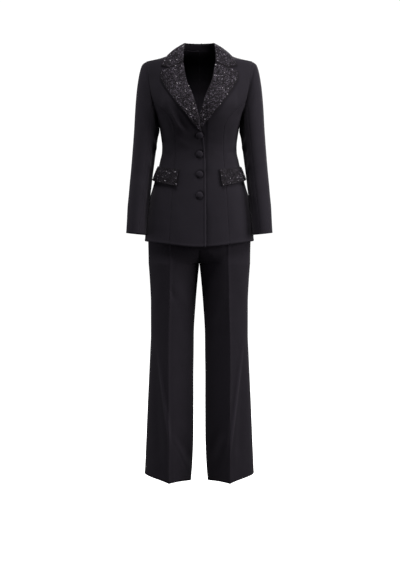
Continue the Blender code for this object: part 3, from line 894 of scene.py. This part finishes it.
def trouser_point(u, z, back):
    """A point of a trouser piece: u runs from the centre or inner seam to the side
    seam, with the crease half way, and z is the height at the side seam."""
    turn = np.pi / 2 * np.clip((FORK_START - z) / (FORK_START - FORK), 0, 1)
    share = 1 - np.cos(turn)
    width = at_height(SEAT, "width", np.maximum(z, FORK))
    inner = share * leg_value("inner", z)
    outer = lerp(width, leg_value("outer", z), share)
    crease = leg_value("crease", z)
    cosine = -np.cos(np.pi * u)
    x = crease + cosine * np.where(u < 0.5, crease - inner, outer - crease)
    column = "back" if back else "front"
    inside = 1 - np.minimum(x / outer, 1.0) ** ROUNDNESS
    seat = at_height(SEAT, column, np.maximum(z, FORK)) * np.maximum(inside, 0) ** (1 / ROUNDNESS)
    flat = np.abs(cosine)
    leg = leg_value(column, z) * np.sin(np.pi * u) * (1 - leg_value("point", z) * flat * (2 - flat))
    y = lerp(seat, leg, share)
    split = (z > FORK) & (turn > 0)
    low = np.where(split, lerp(FORK_START, FORK, np.sin(turn)), z)
    drop = smooth((HEM_DROP_START - z) / (HEM_DROP_START - TROUSER_HEM))
    hem = lerp(HEM_INNER_DROP, HEM_OUTER_DROP, u) + HEM_CREASE_DROP * (1 - flat) ** 2
    height = lerp(low, z, smooth(u * 1.6)) - hem * drop
    return np.stack([x, y if back else -y, height], axis=-1)


def trouser_normal(u, z, back):
    before, after = np.maximum(u - 0.02, 0), np.minimum(u + 0.02, 1)
    across = trouser_point(after, z, back) - trouser_point(before, z, back)
    up = trouser_point(u, np.minimum(z + 1, WAIST_TOP), back) - trouser_point(u, z - 1, back)
    normal = unit(np.cross(across, up))
    return -normal if back else normal


print("leg:", LEG[-1].outer - LEG[-1].inner, "mm wide at the hem")


# %% Creases
LEG_WIDE = 290.0
LEG_CLEAR = 12
CREASE_PULL = 0.78
CREASE_HIGHLIGHT = 0.1
CREASE_RIDGE = 1.8
CREASE_STEP = 1.5
CREASE_TOP = -500.0
LEG_FOLD_TOP = -650.0


def closer_at_crease(u):
    """Moves columns towards the seams and the crease."""
    half = np.where(u < 0.5, u * 2, u * 2 - 1)
    half = lerp(half, smooth(half), CREASE_PULL)
    return np.where(u < 0.5, half / 2, half / 2 + 0.5)


def crease_line(side, past):
    """The pressed edge, steeper on the wearer's right side of each crease. past is
    how many millimetres to the wearer's left of the crease a point lies."""
    if side > 0:
        return CREASE_RIDGE * hump(past, np.where(past < 0, 3.2, 7.0))
    step = CREASE_STEP * hump(past + 4, np.where(past < -4, 14.0, 2.2))
    return -step - hump(past - 9, 6.0)


def crease_press_and_highlight(side, back):
    """How far a piece is marked along its crease and its sharpest folds: smoother there, and paler as a
    painted highlight.
    """

    def polish_and_highlight(u, v):
        u, z = closer_at_crease(u), between(TROUSER_LEVELS, v)
        lines = 0 if back else relief(FOLD_HIGHLIGHT_LINES, side * trouser_point(u, z, False)[:, 0], z)
        return np.clip(CREASE_HIGHLIGHT * hump((u - 0.5) * LEG_WIDE, 2.2) + lines, 0, 1)

    return polish_and_highlight


# %% Build the trousers
TROUSER_LEVELS = levels((TROUSER_HEM, 86), (FORK, 26), (FORK_START, 14), (WAIST_TOP - WAIST_BAND - SEAM, 0))


def trouser_place(side, back):
    folds = TROUSER_BACK_FOLDS if back else TROUSER_FRONT_FOLDS

    def place(u, v, depth):
        z = between(TROUSER_LEVELS, v)
        u = closer_at_crease(u)
        point = trouser_point(u, z, back)
        seams = hump((1 - u) * LEG_WIDE, SEAM_REACH)
        ridge = crease_line(side, side * (u - 0.5) * LEG_WIDE) * smooth((CREASE_TOP - z) / 120)
        borders = smooth(u * LEG_CLEAR) * smooth((1 - u) * LEG_CLEAR) * smooth((LEG_FOLD_TOP - z) / 30)
        out = relief(folds, side * point[:, 0], point[:, 2]) * borders
        out = out + ridge - SEAM_SINK * 0.8 * seams
        point = moved(point, trouser_normal(u, z, back), out - depth)
        point[:, 1] += SEAM / 2 if back else -SEAM / 2
        point[:, 0] = side * (point[:, 0] + SEAM / 2)
        return point

    return place


for side, hand in HANDS:
    for face, back, flat, area in (
            ("front", False, (0.30, 1.04), 0.251),
            ("back", True, (0.31, 1.04), 0.261)):
        node = f"trouser_{face}_{hand}"
        shell = cloth(node, trouser_place(side, back), 64, len(TROUSER_LEVELS) - 1, TROUSER_WALL,
                      trouser_crepe, crease_press_and_highlight(side, back))
        dress(node, shell)


# %% Waistband
def band_place(side):
    def place(u, v, depth):
        z = WAIST_TOP - WAIST_BAND * (1 - v)
        across, ahead = np.sin(np.pi * u), np.cos(np.pi * u)
        deep = np.where(u < 0.5, at_height(SEAT, "front", z), at_height(SEAT, "back", z))
        reach = oval(across, ahead, at_height(SEAT, "width", z), deep) - depth
        return np.stack([side * (reach * across + SEAM / 2), -reach * ahead, z], axis=-1)

    return place


for side, hand in HANDS:
    node = f"waistband_{hand}"
    shell = cloth(node, band_place(side), 60, 6, TROUSER_WALL, trouser_crepe)
    dress(node, shell)

# %% [markdown]
# ## Beaded cloth
#
# The lapels, collar and flaps are black cloth covered in sequins, small cups of
# black film, with seed beads couched between them in lines that wander. The cloth
# itself hardly shows, so it is plain. The sequins are glossy, and each one has its
# own tone and shine from a random number that the mesh keeps.

# %% Beaded finishes
TINT = (1.0, 0.90, 1.0, 1)

# The ground is black cloth, made darker than the crepe as painted shade, so that its bare margins along the
# lapel and collar edges read as the shadows of those edges.
ground = Finish("beading ground")
ground.set(
    Base_Color=ground.blend(ground.noise(ground.place(), 900),
                            (0.003, 0.0024, 0.0033, 1), (0.009, 0.0075, 0.0098, 1)),
    Roughness=0.9,
    Specular_IOR_Level=0.15,
)


def gloss(name, dark, pale, dull, bright, level):
    """A glossy finish, from dark and dull at tone 0 to pale and bright at tone 1."""
    made = Finish(name)
    tone = made.mark("tone")
    made.set(
        Base_Color=made.blend(tone, dark, pale),
        Roughness=dull - tone * (dull - bright),
        Normal=made.bump(made.noise(made.place(), 1800, 1), 0.15, 0.1 * MM),
        Specular_IOR_Level=level,
        Specular_Tint=TINT,
    )
    return made.material


sequin_black = gloss("sequin black", (0.0020, 0.0014, 0.0023, 1), (0.170, 0.149, 0.186, 1), 0.5, 0.14, 0.12)
bead_black = gloss("bead black", (0.0020, 0.0015, 0.0023, 1), (0.070, 0.058, 0.076, 1), 0.4, 0.1, 0.2)
# Cut beads are coloured near white, a painted glint on top of their gloss.
glint_bead = gloss("cut bead", (0.42, 0.39, 0.44, 1), (0.95, 0.92, 0.97, 1), 0.12, 0.05, 0.9)
print("beading:", ground.material.name, sequin_black.name, bead_black.name, glint_bead.name)


# %% Sequin and bead shapes
def small_shape(name, bm, surface):
    bmesh.ops.recalc_face_normals(bm, faces=bm.faces)
    made = object_from(name, bm, [surface])
    made.hide_render = True
    made.hide_viewport = True
    return made


def sequin_shape(radius):
    """A six-sided cup of film with a flat rim, a little thicker than real."""
    bm = bmesh.new()
    bmesh.ops.create_cone(bm, cap_ends=True, segments=6, radius1=radius, radius2=radius, depth=SEQUIN_FILM)
    top = max(bm.faces, key=lambda face: face.calc_center_median().z)
    bmesh.ops.inset_region(bm, faces=[top], thickness=radius * CUP_SHARE)
    bmesh.ops.translate(bm, vec=(0, 0, -CUP_DEPTH), verts=top.verts)
    return small_shape("sequin", bm, sequin_black)


def bead_shape(name, radius, surface):
    bm = bmesh.new()
    bmesh.ops.create_icosphere(bm, subdivisions=1, radius=radius)
    bmesh.ops.scale(bm, vec=(1, 1, 0.8), verts=bm.verts)
    return small_shape(name, bm, surface)


SEQUIN_RADIUS = 1.55
SEQUIN_FILM = 0.22
CUP_SHARE = 0.55
CUP_DEPTH = 0.25
BEAD_RADIUS = 0.95
CUT_RADIUS = 1.22
sequin = sequin_shape(SEQUIN_RADIUS)
bead = bead_shape("bead", BEAD_RADIUS, bead_black)
cut_bead = bead_shape("cut bead", CUT_RADIUS, glint_bead)
print("shapes:", [(shape.name, len(shape.data.polygons)) for shape in (sequin, bead, cut_bead)])

# %% [markdown]
# ## Scattering the beads
#
# Sewing seven thousand sequins by hand is a job for Geometry Nodes. Points are thrown
# on the face so that no two are too near. A noise pattern then sorts them: where the
# noise crosses its middle value it draws lines that wander like embroidery, and the
# points on those lines get beads. The rest get sequins, each tilted its own way, and
# a rare few points get a cut bead, coloured near white as a painted glint.

# %% Scatter with Geometry Nodes
SPACING = 2.35
DENSITY = 500000
LINE_SCALE = 62.0
LINE_SHARE = 0.055
CUT_SHARE = 0.014


def bead_tree(seed, painted_shade_gain):
    """Nodes that turn a face into the sequins and beads on it. The last argument scales their tone; below
    one it is painted shade.
    """
    tree = bpy.data.node_groups.new("beading", "GeometryNodeTree")
    for way in ("INPUT", "OUTPUT"):
        tree.interface.new_socket("Geometry", in_out=way, socket_type="NodeSocketGeometry")
    nodes = Nodes(tree)
    points = nodes.add("GeometryNodeDistributePointsOnFaces", {"distribute_method": "POISSON"}, {
        "Mesh": nodes.add("NodeGroupInput"), "Distance Min": SPACING * MM, "Density Max": DENSITY,
        "Seed": seed})
    turned = Wire(tree, points.socket.node.outputs["Rotation"])

    def chance(low, high, number, kind="FLOAT"):
        """A random value for each point. Each number is a draw of its own."""
        slots = {"FLOAT": (2, 3, 1), "FLOAT_VECTOR": (0, 1, 0)}[kind]
        return nodes.add("FunctionNodeRandomValue", {"data_type": kind},
                         {slots[0]: low, slots[1]: high, "Seed": seed + number}, slots[2])

    place = nodes.add("GeometryNodeInputPosition")
    wander = nodes.add("ShaderNodeTexNoise", {}, {"Vector": place, "Scale": LINE_SCALE, "Detail": 0.6})
    line = abs(wander - 0.5) < LINE_SHARE
    rare = chance(0.0, 1.0, 1) < CUT_SHARE / painted_shade_gain
    cloud = nodes.add("ShaderNodeTexNoise", {}, {"Vector": place, "Scale": 210.0, "Detail": 1.0})
    patch = nodes.add("ShaderNodeMapRange", {}, {"Value": cloud, "From Min": 0.43, "From Max": 0.58})
    tone = chance(0.0, 1.0, 4) ** 1.3 * (0.42 + patch * 0.58) * painted_shade_gain
    tilt = chance((-0.5, -0.5, 0.0), (0.5, 0.5, 6.28), 2, "FLOAT_VECTOR")
    layers = tree.nodes.new("GeometryNodeJoinGeometry")
    for shape, wanted, small, large in (
            (sequin, (1 - line) * (1 - rare), 0.85, 1.1),
            (bead, line * (1 - rare), 0.85, 1.2),
            (cut_bead, rare, 0.8, 1.15)):
        model = nodes.add("GeometryNodeObjectInfo", {}, {"Object": shape}, 4)
        set_on = nodes.add("GeometryNodeInstanceOnPoints", {}, {
            "Points": points, "Selection": wanted, "Instance": model, "Rotation": turned,
            "Scale": chance(small, large, 3)})
        tilted = nodes.add("GeometryNodeRotateInstances", {}, {"Instances": set_on, "Rotation": tilt})
        tree.links.new(tilted.socket, layers.inputs[0])
    toned = nodes.add("GeometryNodeStoreNamedAttribute", {"domain": "INSTANCE"}, {
        "Geometry": Wire(tree, layers.outputs[0]), "Name": "tone", "Value": tone})
    real = nodes.add("GeometryNodeRealizeInstances", {}, {"Geometry": toned})
    nodes.add("NodeGroupOutput", {}, {"Geometry": real})
    return tree


# %% Make the beading real
BEAD_LIFT = 0.15


def beaded(node, place, columns, rows, margin, seed, painted_shade_gain=1.0):
    """The sequins and beads on a piece, made real as one mesh. margin is the bare
    share at the start and end of u, then of v."""
    bm = bmesh.new()
    bmesh.ops.create_grid(bm, x_segments=columns, y_segments=rows, size=0.5)
    flat = np.array([vert.co for vert in bm.verts])
    u = lerp(margin[0], 1 - margin[1], flat[:, 0] + 0.5)
    v = lerp(margin[2], 1 - margin[3], flat[:, 1] + 0.5)
    for vert, point in zip(bm.verts, place(u, v, np.full(len(u), -BEAD_LIFT))):
        vert.co = point
    inner = place(u, v, np.full(len(u), 1.0))
    bm.verts.ensure_lookup_table()
    bm.normal_update()
    outward = np.array([vert.co for vert in bm.verts]) - inner
    facing = sum(float(np.dot(vert.normal, way)) for vert, way in zip(bm.verts, outward))
    if facing < 0:
        bmesh.ops.reverse_faces(bm, faces=bm.faces)
    host = object_from(f"{node}_host", bm, [])
    scatter = host.modifiers.new("beading", "NODES")
    scatter.node_group = bead_tree(seed, painted_shade_gain)
    ready = host.evaluated_get(bpy.context.evaluated_depsgraph_get())
    mesh = bpy.data.meshes.new_from_object(ready)
    mesh.name = f"{node}_beading"
    made = bpy.data.objects.new(f"{node}_beading", mesh)
    bpy.context.collection.objects.link(made)
    bpy.data.node_groups.remove(scatter.node_group)
    bpy.data.objects.remove(host)
    print(made.name, len(mesh.polygons), "faces")
    return made


# %% [markdown]
# ## Lapels
#
# A lapel is the front itself, turned back along the roll line. It is a piece of its
# own here. It lies just above the front, swells a little across its width, and at
# the roll line it curls down to meet the front's edge, so no cut edge shows there.

# %% Lapels
Lapel = namedtuple("Lapel", "roll_z edge_x edge_z")
LAPEL = table(Lapel,
    (-58, 96, -78), (-74, 130.5, -87), (-92, 131, -104), (-116, 120, -131),
    (-144, 101, -161), (-172, 79.5, -191), (-200, 59, -217), (-228, 37, -243),
    (-251, 16.5, -268), (-270, -4, -290),
)
LEFT_LAPEL_SHARE = 0.945
LAPEL_ROLL = 2.4
ROLL_SHARE = 0.05
ROLL_RADIUS = 2.2
EDGE_LIFT = 1.5
BEADED_FACE = BEADED_WALL + 1.2


def station(rows, column, at):
    """A column of a table of stations, at a place between them."""
    return follow(np.arange(len(rows), dtype=float), column_of(rows, column), at)


def rolled(points, across, outward, share, roll, depth):
    """Turns the first part of a piece, up to the share roll, down a quarter circle."""
    angle = np.pi / 2 * np.clip(1 - share / roll, 0, 1)
    turned = unit(moved(outward * np.cos(angle)[:, None], across, -np.sin(angle)))
    points = moved(points, across, -ROLL_RADIUS * np.sin(angle))
    points = moved(points, outward, -ROLL_RADIUS * (1 - np.cos(angle)))
    return moved(points, turned, -depth)


def lapel_face(side, u, v, out=0.0):
    """The lapel's outer face, worked out where x is above zero. u is 0 at the roll
    line. The left lapel ends higher, and stays clear of the centre line."""
    at = v * (len(LAPEL) - 1) * (LEFT_LAPEL_SHARE if side > 0 else 1)
    roll_z = station(LAPEL, "roll_z", at)
    roll_x = edge_x(roll_z)
    x_out, z_out = station(LAPEL, "edge_x", at), station(LAPEL, "edge_z", at)
    if side > 0:
        roll_x = np.maximum(roll_x, 2.5 - roll_x)
        x_out = np.maximum(x_out, roll_x + 2)
    x, z = lerp(roll_x, x_out, u), lerp(roll_z, z_out, u)
    lift = BEADED_FACE + LAPEL_ROLL * np.sin(np.pi * u) + EDGE_LIFT * smooth((u - 0.7) / 0.3)
    shift = under(x, z) if side > 0 else 0.0
    return skin(angle_at(x, z), z, lift + shift + out)


def lapel_place(side):
    def place(u, v, depth):
        share = np.maximum((u - ROLL_SHARE) / (1 - ROLL_SHARE), 0)
        point = lapel_face(side, share, v)
        before, after = np.maximum(share - 0.02, 0), np.minimum(share + 0.02, 1)
        across = unit(lapel_face(side, after, v) - lapel_face(side, before, v))
        outward = unit(lapel_face(side, share, v, 1.0) - point)
        point = rolled(point, across, outward, u, ROLL_SHARE, depth)
        point[:, 0] *= side
        return point

    return place


print("lapel:", len(LAPEL), "stations down the roll line")

# %% Build the lapels
for side, hand in HANDS:
    node = f"lapel_{hand}"
    place = lapel_place(side)
    shell = cloth(node, place, 40, 72, BEADED_WALL, ground.material)
    # The wider bare margin along the lapel's outer edge shows the dark ground as a painted shadow line
    # under that edge.
    beading = beaded(node, place, 40, 72, (0.03, 0.045, 0.012, 0.012), 11 + side)
    dress(node, shell, [beading])

# %% [markdown]
# ## Collar
#
# The collar stands up round the neck, folds over and falls on the shoulders. Its
# leaf goes from the fold to the outer edge at a row of stations round the neck, and
# its front end is cut back so that it and the lapel leave a notch between them.

# %% Measures of the collar
Collar = namedtuple("Collar", "fold_x fold_y fold_z edge_x edge_z crown")
COLLAR = table(Collar,
    (56, -86.5, -54.6, 129.5, -62, 0), (56.5, -73, -33, 120, -49, 4.2), (55.5, -52, -9, 111.5, -37, 6),
    (54, -28, 8, 104.5, -28.5, 4.5), (52.5, 0, 17.5, 98.5, -22, 3), (49.5, 17, 20, 88, -21, 3),
    (44, 32, 21, 77, -24, 3.5), (26, 52, 22, 45, -25, 4), (0, 58, 22, 0, -26, 4),
)
COLLAR_LIFT = 4.0
COLLAR_LEAN = 60.0
CLEAR_AT_FOLD = 3.3
CLEAR_AT_EDGE = 2.3
NOTCH = namedtuple("Notch", "x z across")(96.5, -76.8, 0.56)
# The station at the centre back. The last one is at twice its number.
NAPE = len(COLLAR) - 1
SHOULDER_OUT = np.array([0.3, 0, 1]) / math.hypot(0.3, 1)
print("collar:", 2 * NAPE + 1, "stations from end to end")


# %% Collar form
def leaf_edge(row):
    """A point of the collar's outer edge, lying on the shoulders and back."""
    z = np.array([float(row.edge_z)])
    if row.edge_x >= at_height(BODY, "width", z)[0]:
        return (body(np.array([90.0]), z) + SHOULDER_OUT * COLLAR_LIFT)[0]
    return skin(angle_at(np.array([float(row.edge_x)]), z, row.fold_y > 0), z, COLLAR_LIFT)[0]


def mirrored(points):
    """Stations from the right front end, round the back, to the left front end."""
    points = np.array(points, float)
    return np.concatenate([points * np.array([-1, 1, 1]), points[-2::-1]])


LEAF_FOLD = mirrored([(row.fold_x, row.fold_y, row.fold_z) for row in COLLAR])
LEAF_EDGE = mirrored([leaf_edge(row) for row in COLLAR])


def through(points, at):
    """A point of the smooth curve through points, at a place between them."""
    places = np.arange(len(points), dtype=float)
    return np.stack([follow(places, points[:, axis], at) for axis in range(3)], axis=-1)


# %% Collar face
def clear_of_body(point, gap):
    """Moves collar points off the shoulders and back where they are too near."""
    level = np.minimum(point[:, 2], -0.5)
    width = at_height(BODY, "width", level)
    back = point[:, 1] > 0
    reach = np.minimum(np.abs(point[:, 0]), width - 0.01)
    least = skin(angle_at(reach, level, back), level, gap)[:, 1]
    beside = (np.abs(point[:, 0]) < width) & (point[:, 2] <= 0)
    clear = np.where(back, np.maximum(point[:, 1], least), np.minimum(point[:, 1], least))
    point = point.copy()
    point[:, 1] = np.where(beside, clear, point[:, 1])
    return point


def collar_face(along, across):
    """The collar's outer face: along is 0 at the right front end, across 0 at the fold."""
    fold, edge = through(LEAF_FOLD, along), through(LEAF_EDGE, along)
    at = NAPE - np.abs(along - NAPE)
    side = np.where(along < NAPE, -1, 1)
    point = fold + (edge - fold) * across[:, None]
    outward = unit(np.stack([point[:, 0], point[:, 1], np.full(len(along), COLLAR_LEAN)], axis=-1))
    point = moved(point, outward, station(COLLAR, "crown", at) * np.sin(np.pi * across))
    notch_x, notch_z = np.array([NOTCH.x]), np.array([NOTCH.z])
    notch = skin(angle_at(notch_x, notch_z), notch_z, COLLAR_LIFT)[0]
    notch = notch * np.stack([side, np.ones(len(side)), np.ones(len(side))], axis=-1)
    flat = fold + (edge - fold) * NOTCH.across
    span = max(NOTCH.across, 1 - NOTCH.across)
    pull = np.clip(1 - at, 0, 1) * np.clip(1 - np.abs(across - NOTCH.across) / span, 0, 1)
    point = point + (notch - flat) * pull[:, None]
    return clear_of_body(point, BEADED_WALL + lerp(CLEAR_AT_FOLD, CLEAR_AT_EDGE, across))


# %% Build the collar
COLLAR_ROLL = 0.07


def collar_place(u, v, depth):
    along = u * 2 * NAPE
    share = np.maximum((v - COLLAR_ROLL) / (1 - COLLAR_ROLL), 0)
    near, far = np.maximum(share - 0.03, 0), np.minimum(share + 0.03, 1)
    across = unit(collar_face(along, far) - collar_face(along, near))
    ahead, behind = np.minimum(along + 0.03, 2 * NAPE), np.maximum(along - 0.03, 0)
    around = collar_face(ahead, share) - collar_face(behind, share)
    outward = unit(np.cross(around, across))
    outward = np.where(outward[:, 2:] < 0, -outward, outward)
    return rolled(collar_face(along, share), across, outward, v, COLLAR_ROLL, depth)


collar = cloth("collar", collar_place, 150, 26, BEADED_WALL, ground.material)
# The bare margins at the collar's front ends show the dark ground as a painted shadow under them at the
# notch.
beading = beaded("collar", collar_place, 150, 26, (0.012, 0.012, 0.04, 0.035), 21)
dress("collar", collar, [beading])

# %% Collar stand
STAND_START = 2
SIDE_STATION = 4
NECK_FRONT = -15.0
STAND_LIFT = 1.2
STAND_DROP = BEADED_WALL + 1.8


def neckline(along):
    """The jacket's neckline under the collar, at a place along it."""
    at = NAPE - np.abs(along - NAPE)
    fold = through(LEAF_FOLD, along)
    low = lerp(NECK_FRONT, 0.0, smooth((at - STAND_START) / (SIDE_STATION - STAND_START)))
    before = body(angle_at(edge_x(low), low), low)
    turn = 180 - np.degrees(np.arctan2(np.abs(fold[:, 0]), fold[:, 1] + 1))
    behind = body(turn, np.zeros(len(along)))
    point = np.where((at < SIDE_STATION)[:, None], before, behind)
    point[:, 0] *= np.where(along < NAPE, -1, 1)
    return point


def stand_place(u, v, depth):
    along = lerp(STAND_START, 2 * NAPE - STAND_START, u)
    top = through(LEAF_FOLD, along) - np.array([0, 0, STAND_DROP])
    base = neckline(along) + np.array([0, 0, STAND_LIFT])
    point = base + (top - base) * v[:, None]
    outward = unit(point * np.array([1, 1, 0]))
    return moved(point, outward, -depth)


stand = cloth("collar_stand", stand_place, 90, 8, JACKET_WALL, jacket_crepe)
dress("collar_stand", stand)

# %% [markdown]
# ## Pocket flaps
#
# Each flap is set into the front at its top edge and hangs free below, so it stands
# off a little more towards its lower outer corner, and its inner edge curls up. It
# rises towards the side seam.

# %% Pocket flaps
Flap = namedtuple("Flap", "low_x high_x inner_low inner_high outer_low outer_high outer_angle stand corner")
FLAP = Flap(75, 67, -474, -417, -450, -404, 88, 1.5, 3.8)
FLAP_CURL = 2.4
CURL_SHARE = 0.16
FLAP_SWELL = 0.8


def flap_place(side):
    def place(u, v, depth):
        low, high = lerp(FLAP.inner_low, FLAP.outer_low, u), lerp(FLAP.inner_high, FLAP.outer_high, u)
        z = lerp(low, high, v)
        inner = angle_at(lerp(FLAP.low_x, FLAP.high_x, v), z)
        angle = lerp(inner, FLAP.outer_angle, u)
        swell = FLAP_SWELL * np.sin(np.pi * u) * np.sin(np.pi * v)
        stand_off = (1 - v) * (FLAP.stand + FLAP.corner * u * u)
        stand_off = stand_off + FLAP_CURL * (1 - smooth(u / CURL_SHARE))
        point = skin(angle, z, BEADED_FACE + stand_off + swell - depth)
        point[:, 0] *= side
        return point

    return place


for side, hand in HANDS:
    node = f"pocket_flap_{hand}"
    place = flap_place(side)
    shell = cloth(node, place, 40, 22, BEADED_WALL, ground.material)
    # The flaps' beading is toned down to 0.42, a painted shade, because flaps that hang upright catch less
    # light.
    beading = beaded(node, place, 40, 22, (0.02, 0.02, 0.035, 0.03), 31 + side, 0.42)
    dress(node, shell, [beading])

# %% [markdown]
# ## Covered buttons
#
# A covered button is a metal dome with a disc of the suit's own crepe pulled over
# it. The cloth is tucked under the rim, which leaves a rounded shoulder and a dark
# line of shadow where it sits on the front.

# %% Covered buttons
BUTTON_RADIUS = 12.2
BUTTON_HEIGHT = 6.0
BUTTON_SEAT = 0.84
BUTTON_STEPS = 56
BUTTON_PROFILE = (
    (0, 1), (0.22, 0.99), (0.40, 0.96), (0.54, 0.91), (0.64, 0.83), (0.73, 0.70), (0.81, 0.54),
    (0.89, 0.38), (0.95, 0.26), (0.96, 0.19), (0.92, 0.15), (0.85, 0.13), (0.6, 0.13), (0.34, 0.12),
    (0.3, 0.04), (0.26, 0), (0, 0),
)

for number, level in enumerate(BUTTON_LEVELS, 1):
    bm = bmesh.new()
    outline = [bm.verts.new((BUTTON_RADIUS * reach, 0, BUTTON_HEIGHT * rise))
               for reach, rise in BUTTON_PROFILE]
    edges = [bm.edges.new(pair) for pair in zip(outline, outline[1:])]
    bmesh.ops.spin(bm, geom=outline + edges, cent=(0, 0, 0), axis=(0, 0, 1), angle=math.tau,
                   steps=BUTTON_STEPS, use_merge=True)
    bmesh.ops.remove_doubles(bm, verts=bm.verts, dist=0.01)
    bmesh.ops.recalc_face_normals(bm, faces=bm.faces)
    z = np.array([level])
    angle = angle_at(np.array([BUTTON_X]), z)
    outward = Vector(body_normal(angle, z)[0])
    turn = outward.to_track_quat("Z", "Y").to_matrix().to_4x4()
    seat = Matrix.Translation(Vector(skin(angle, z, BUTTON_SEAT)[0]))
    bmesh.ops.transform(bm, matrix=seat @ turn, verts=bm.verts)
    button = object_from(f"button_{number}_covered", bm, [jacket_crepe])
    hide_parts(f"button_{number}")
    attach(button, "root")
    print(button.name, len(button.data.polygons), "faces")

# %% [markdown]
# ## Floor and light
#
# The floor is plain and pale. A large soft light hangs above and in front. One to the
# right makes the wearer's left side paler than their right, and two weak ones fill from
# the left. One behind shows the back when the camera goes round. What the camera sees
# past the floor is white, and what lights the suit from all round is a dim grey.

# %% Floor
FLOOR_Z = -1.60
FLOOR_REACH = 30.0
FLOOR_NEAR = 1.0
FLOOR_FAR = 5.0

bm = bmesh.new()
bmesh.ops.create_grid(bm, x_segments=1, y_segments=1, size=FLOOR_REACH / MM)
bmesh.ops.translate(bm, vec=(0, 0, FLOOR_Z / MM), verts=bm.verts)
paper = Finish("floor")
away = paper.add("ShaderNodeVectorMath", {"operation": "LENGTH"}, {0: paper.place()}, 1)
far = paper.add("ShaderNodeMapRange", {}, {"Value": away, "From Min": FLOOR_NEAR, "From Max": FLOOR_FAR})
paper.set(
    Base_Color=paper.blend(paper.noise(paper.place(), 3), (0.84, 0.84, 0.84, 1), (0.88, 0.88, 0.88, 1)),
    Roughness=0.9,
    # The floor glows, a painted light: white far off and dimmer near the suit, so that the lamps' soft
    # shadow still shows under it.
    Emission_Color=paper.blend(far, (0.6, 0.6, 0.6, 1), (1, 1, 1, 1)),
    Emission_Strength=1.0,
)
floor = object_from("floor", bm, [paper.material])
floor.visible_diffuse = False
floor.visible_glossy = False
print("floor: at", FLOOR_Z, "m")


# %% Lights
WHITE = (1, 1, 1)
COOL = (0.97, 0.97, 1)


def soft_light(name, place, aim, size, power, colour):
    lamp = bpy.data.lights.new(name, "AREA")
    lamp.shape = "RECTANGLE"
    lamp.size, lamp.size_y = size
    lamp.energy = power
    lamp.color = colour
    made = bpy.data.objects.new(name, lamp)
    made.location = place
    made.rotation_mode = "QUATERNION"
    made.rotation_quaternion = (Vector(aim) - Vector(place)).to_track_quat("-Z", "Y")
    bpy.context.collection.objects.link(made)


soft_light("top", (0.15, -2.2, 4.8), (0, 0, -0.6), (2.6, 2.0), 400, WHITE)
soft_light("right side", (2.3, -0.98, 0.1), (0, 0, -0.35), (1.3, 2.0), 92, (1, 0.985, 0.98))
soft_light("left side", (-2.8, -0.35, -0.5), (0, 0, -0.8), (1.4, 2.2), 29, COOL)
soft_light("left front", (-2.2, -1.8, -0.3), (0, 0, -0.6), (1.2, 2.2), 9, COOL)
soft_light("behind", (0.9, 2.8, 1.0), (0, 0, -0.7), (2.0, 2.6), 110, WHITE)
print("lamps: a top light, one to the right, two weak ones to the left and one behind")

# %% Surroundings
AMBIENT = 0.08
BACKDROP = 0.98

world = bpy.data.worlds.new("studio")
bpy.context.scene.world = world
world.use_nodes = True
sky = Nodes(world.node_tree)
seen = sky.add("ShaderNodeLightPath")
backdrop = world.node_tree.nodes["Background"]
join(world.node_tree, backdrop.inputs["Strength"], AMBIENT + seen * BACKDROP)
backdrop.inputs["Color"].default_value = (*WHITE, 1)
bpy.context.scene.view_settings.view_transform = "Standard"
print("surroundings: strength", AMBIENT)

# %% Clear the patterns and finish
for shape in (sequin, bead, cut_bead):
    bpy.data.objects.remove(shape)
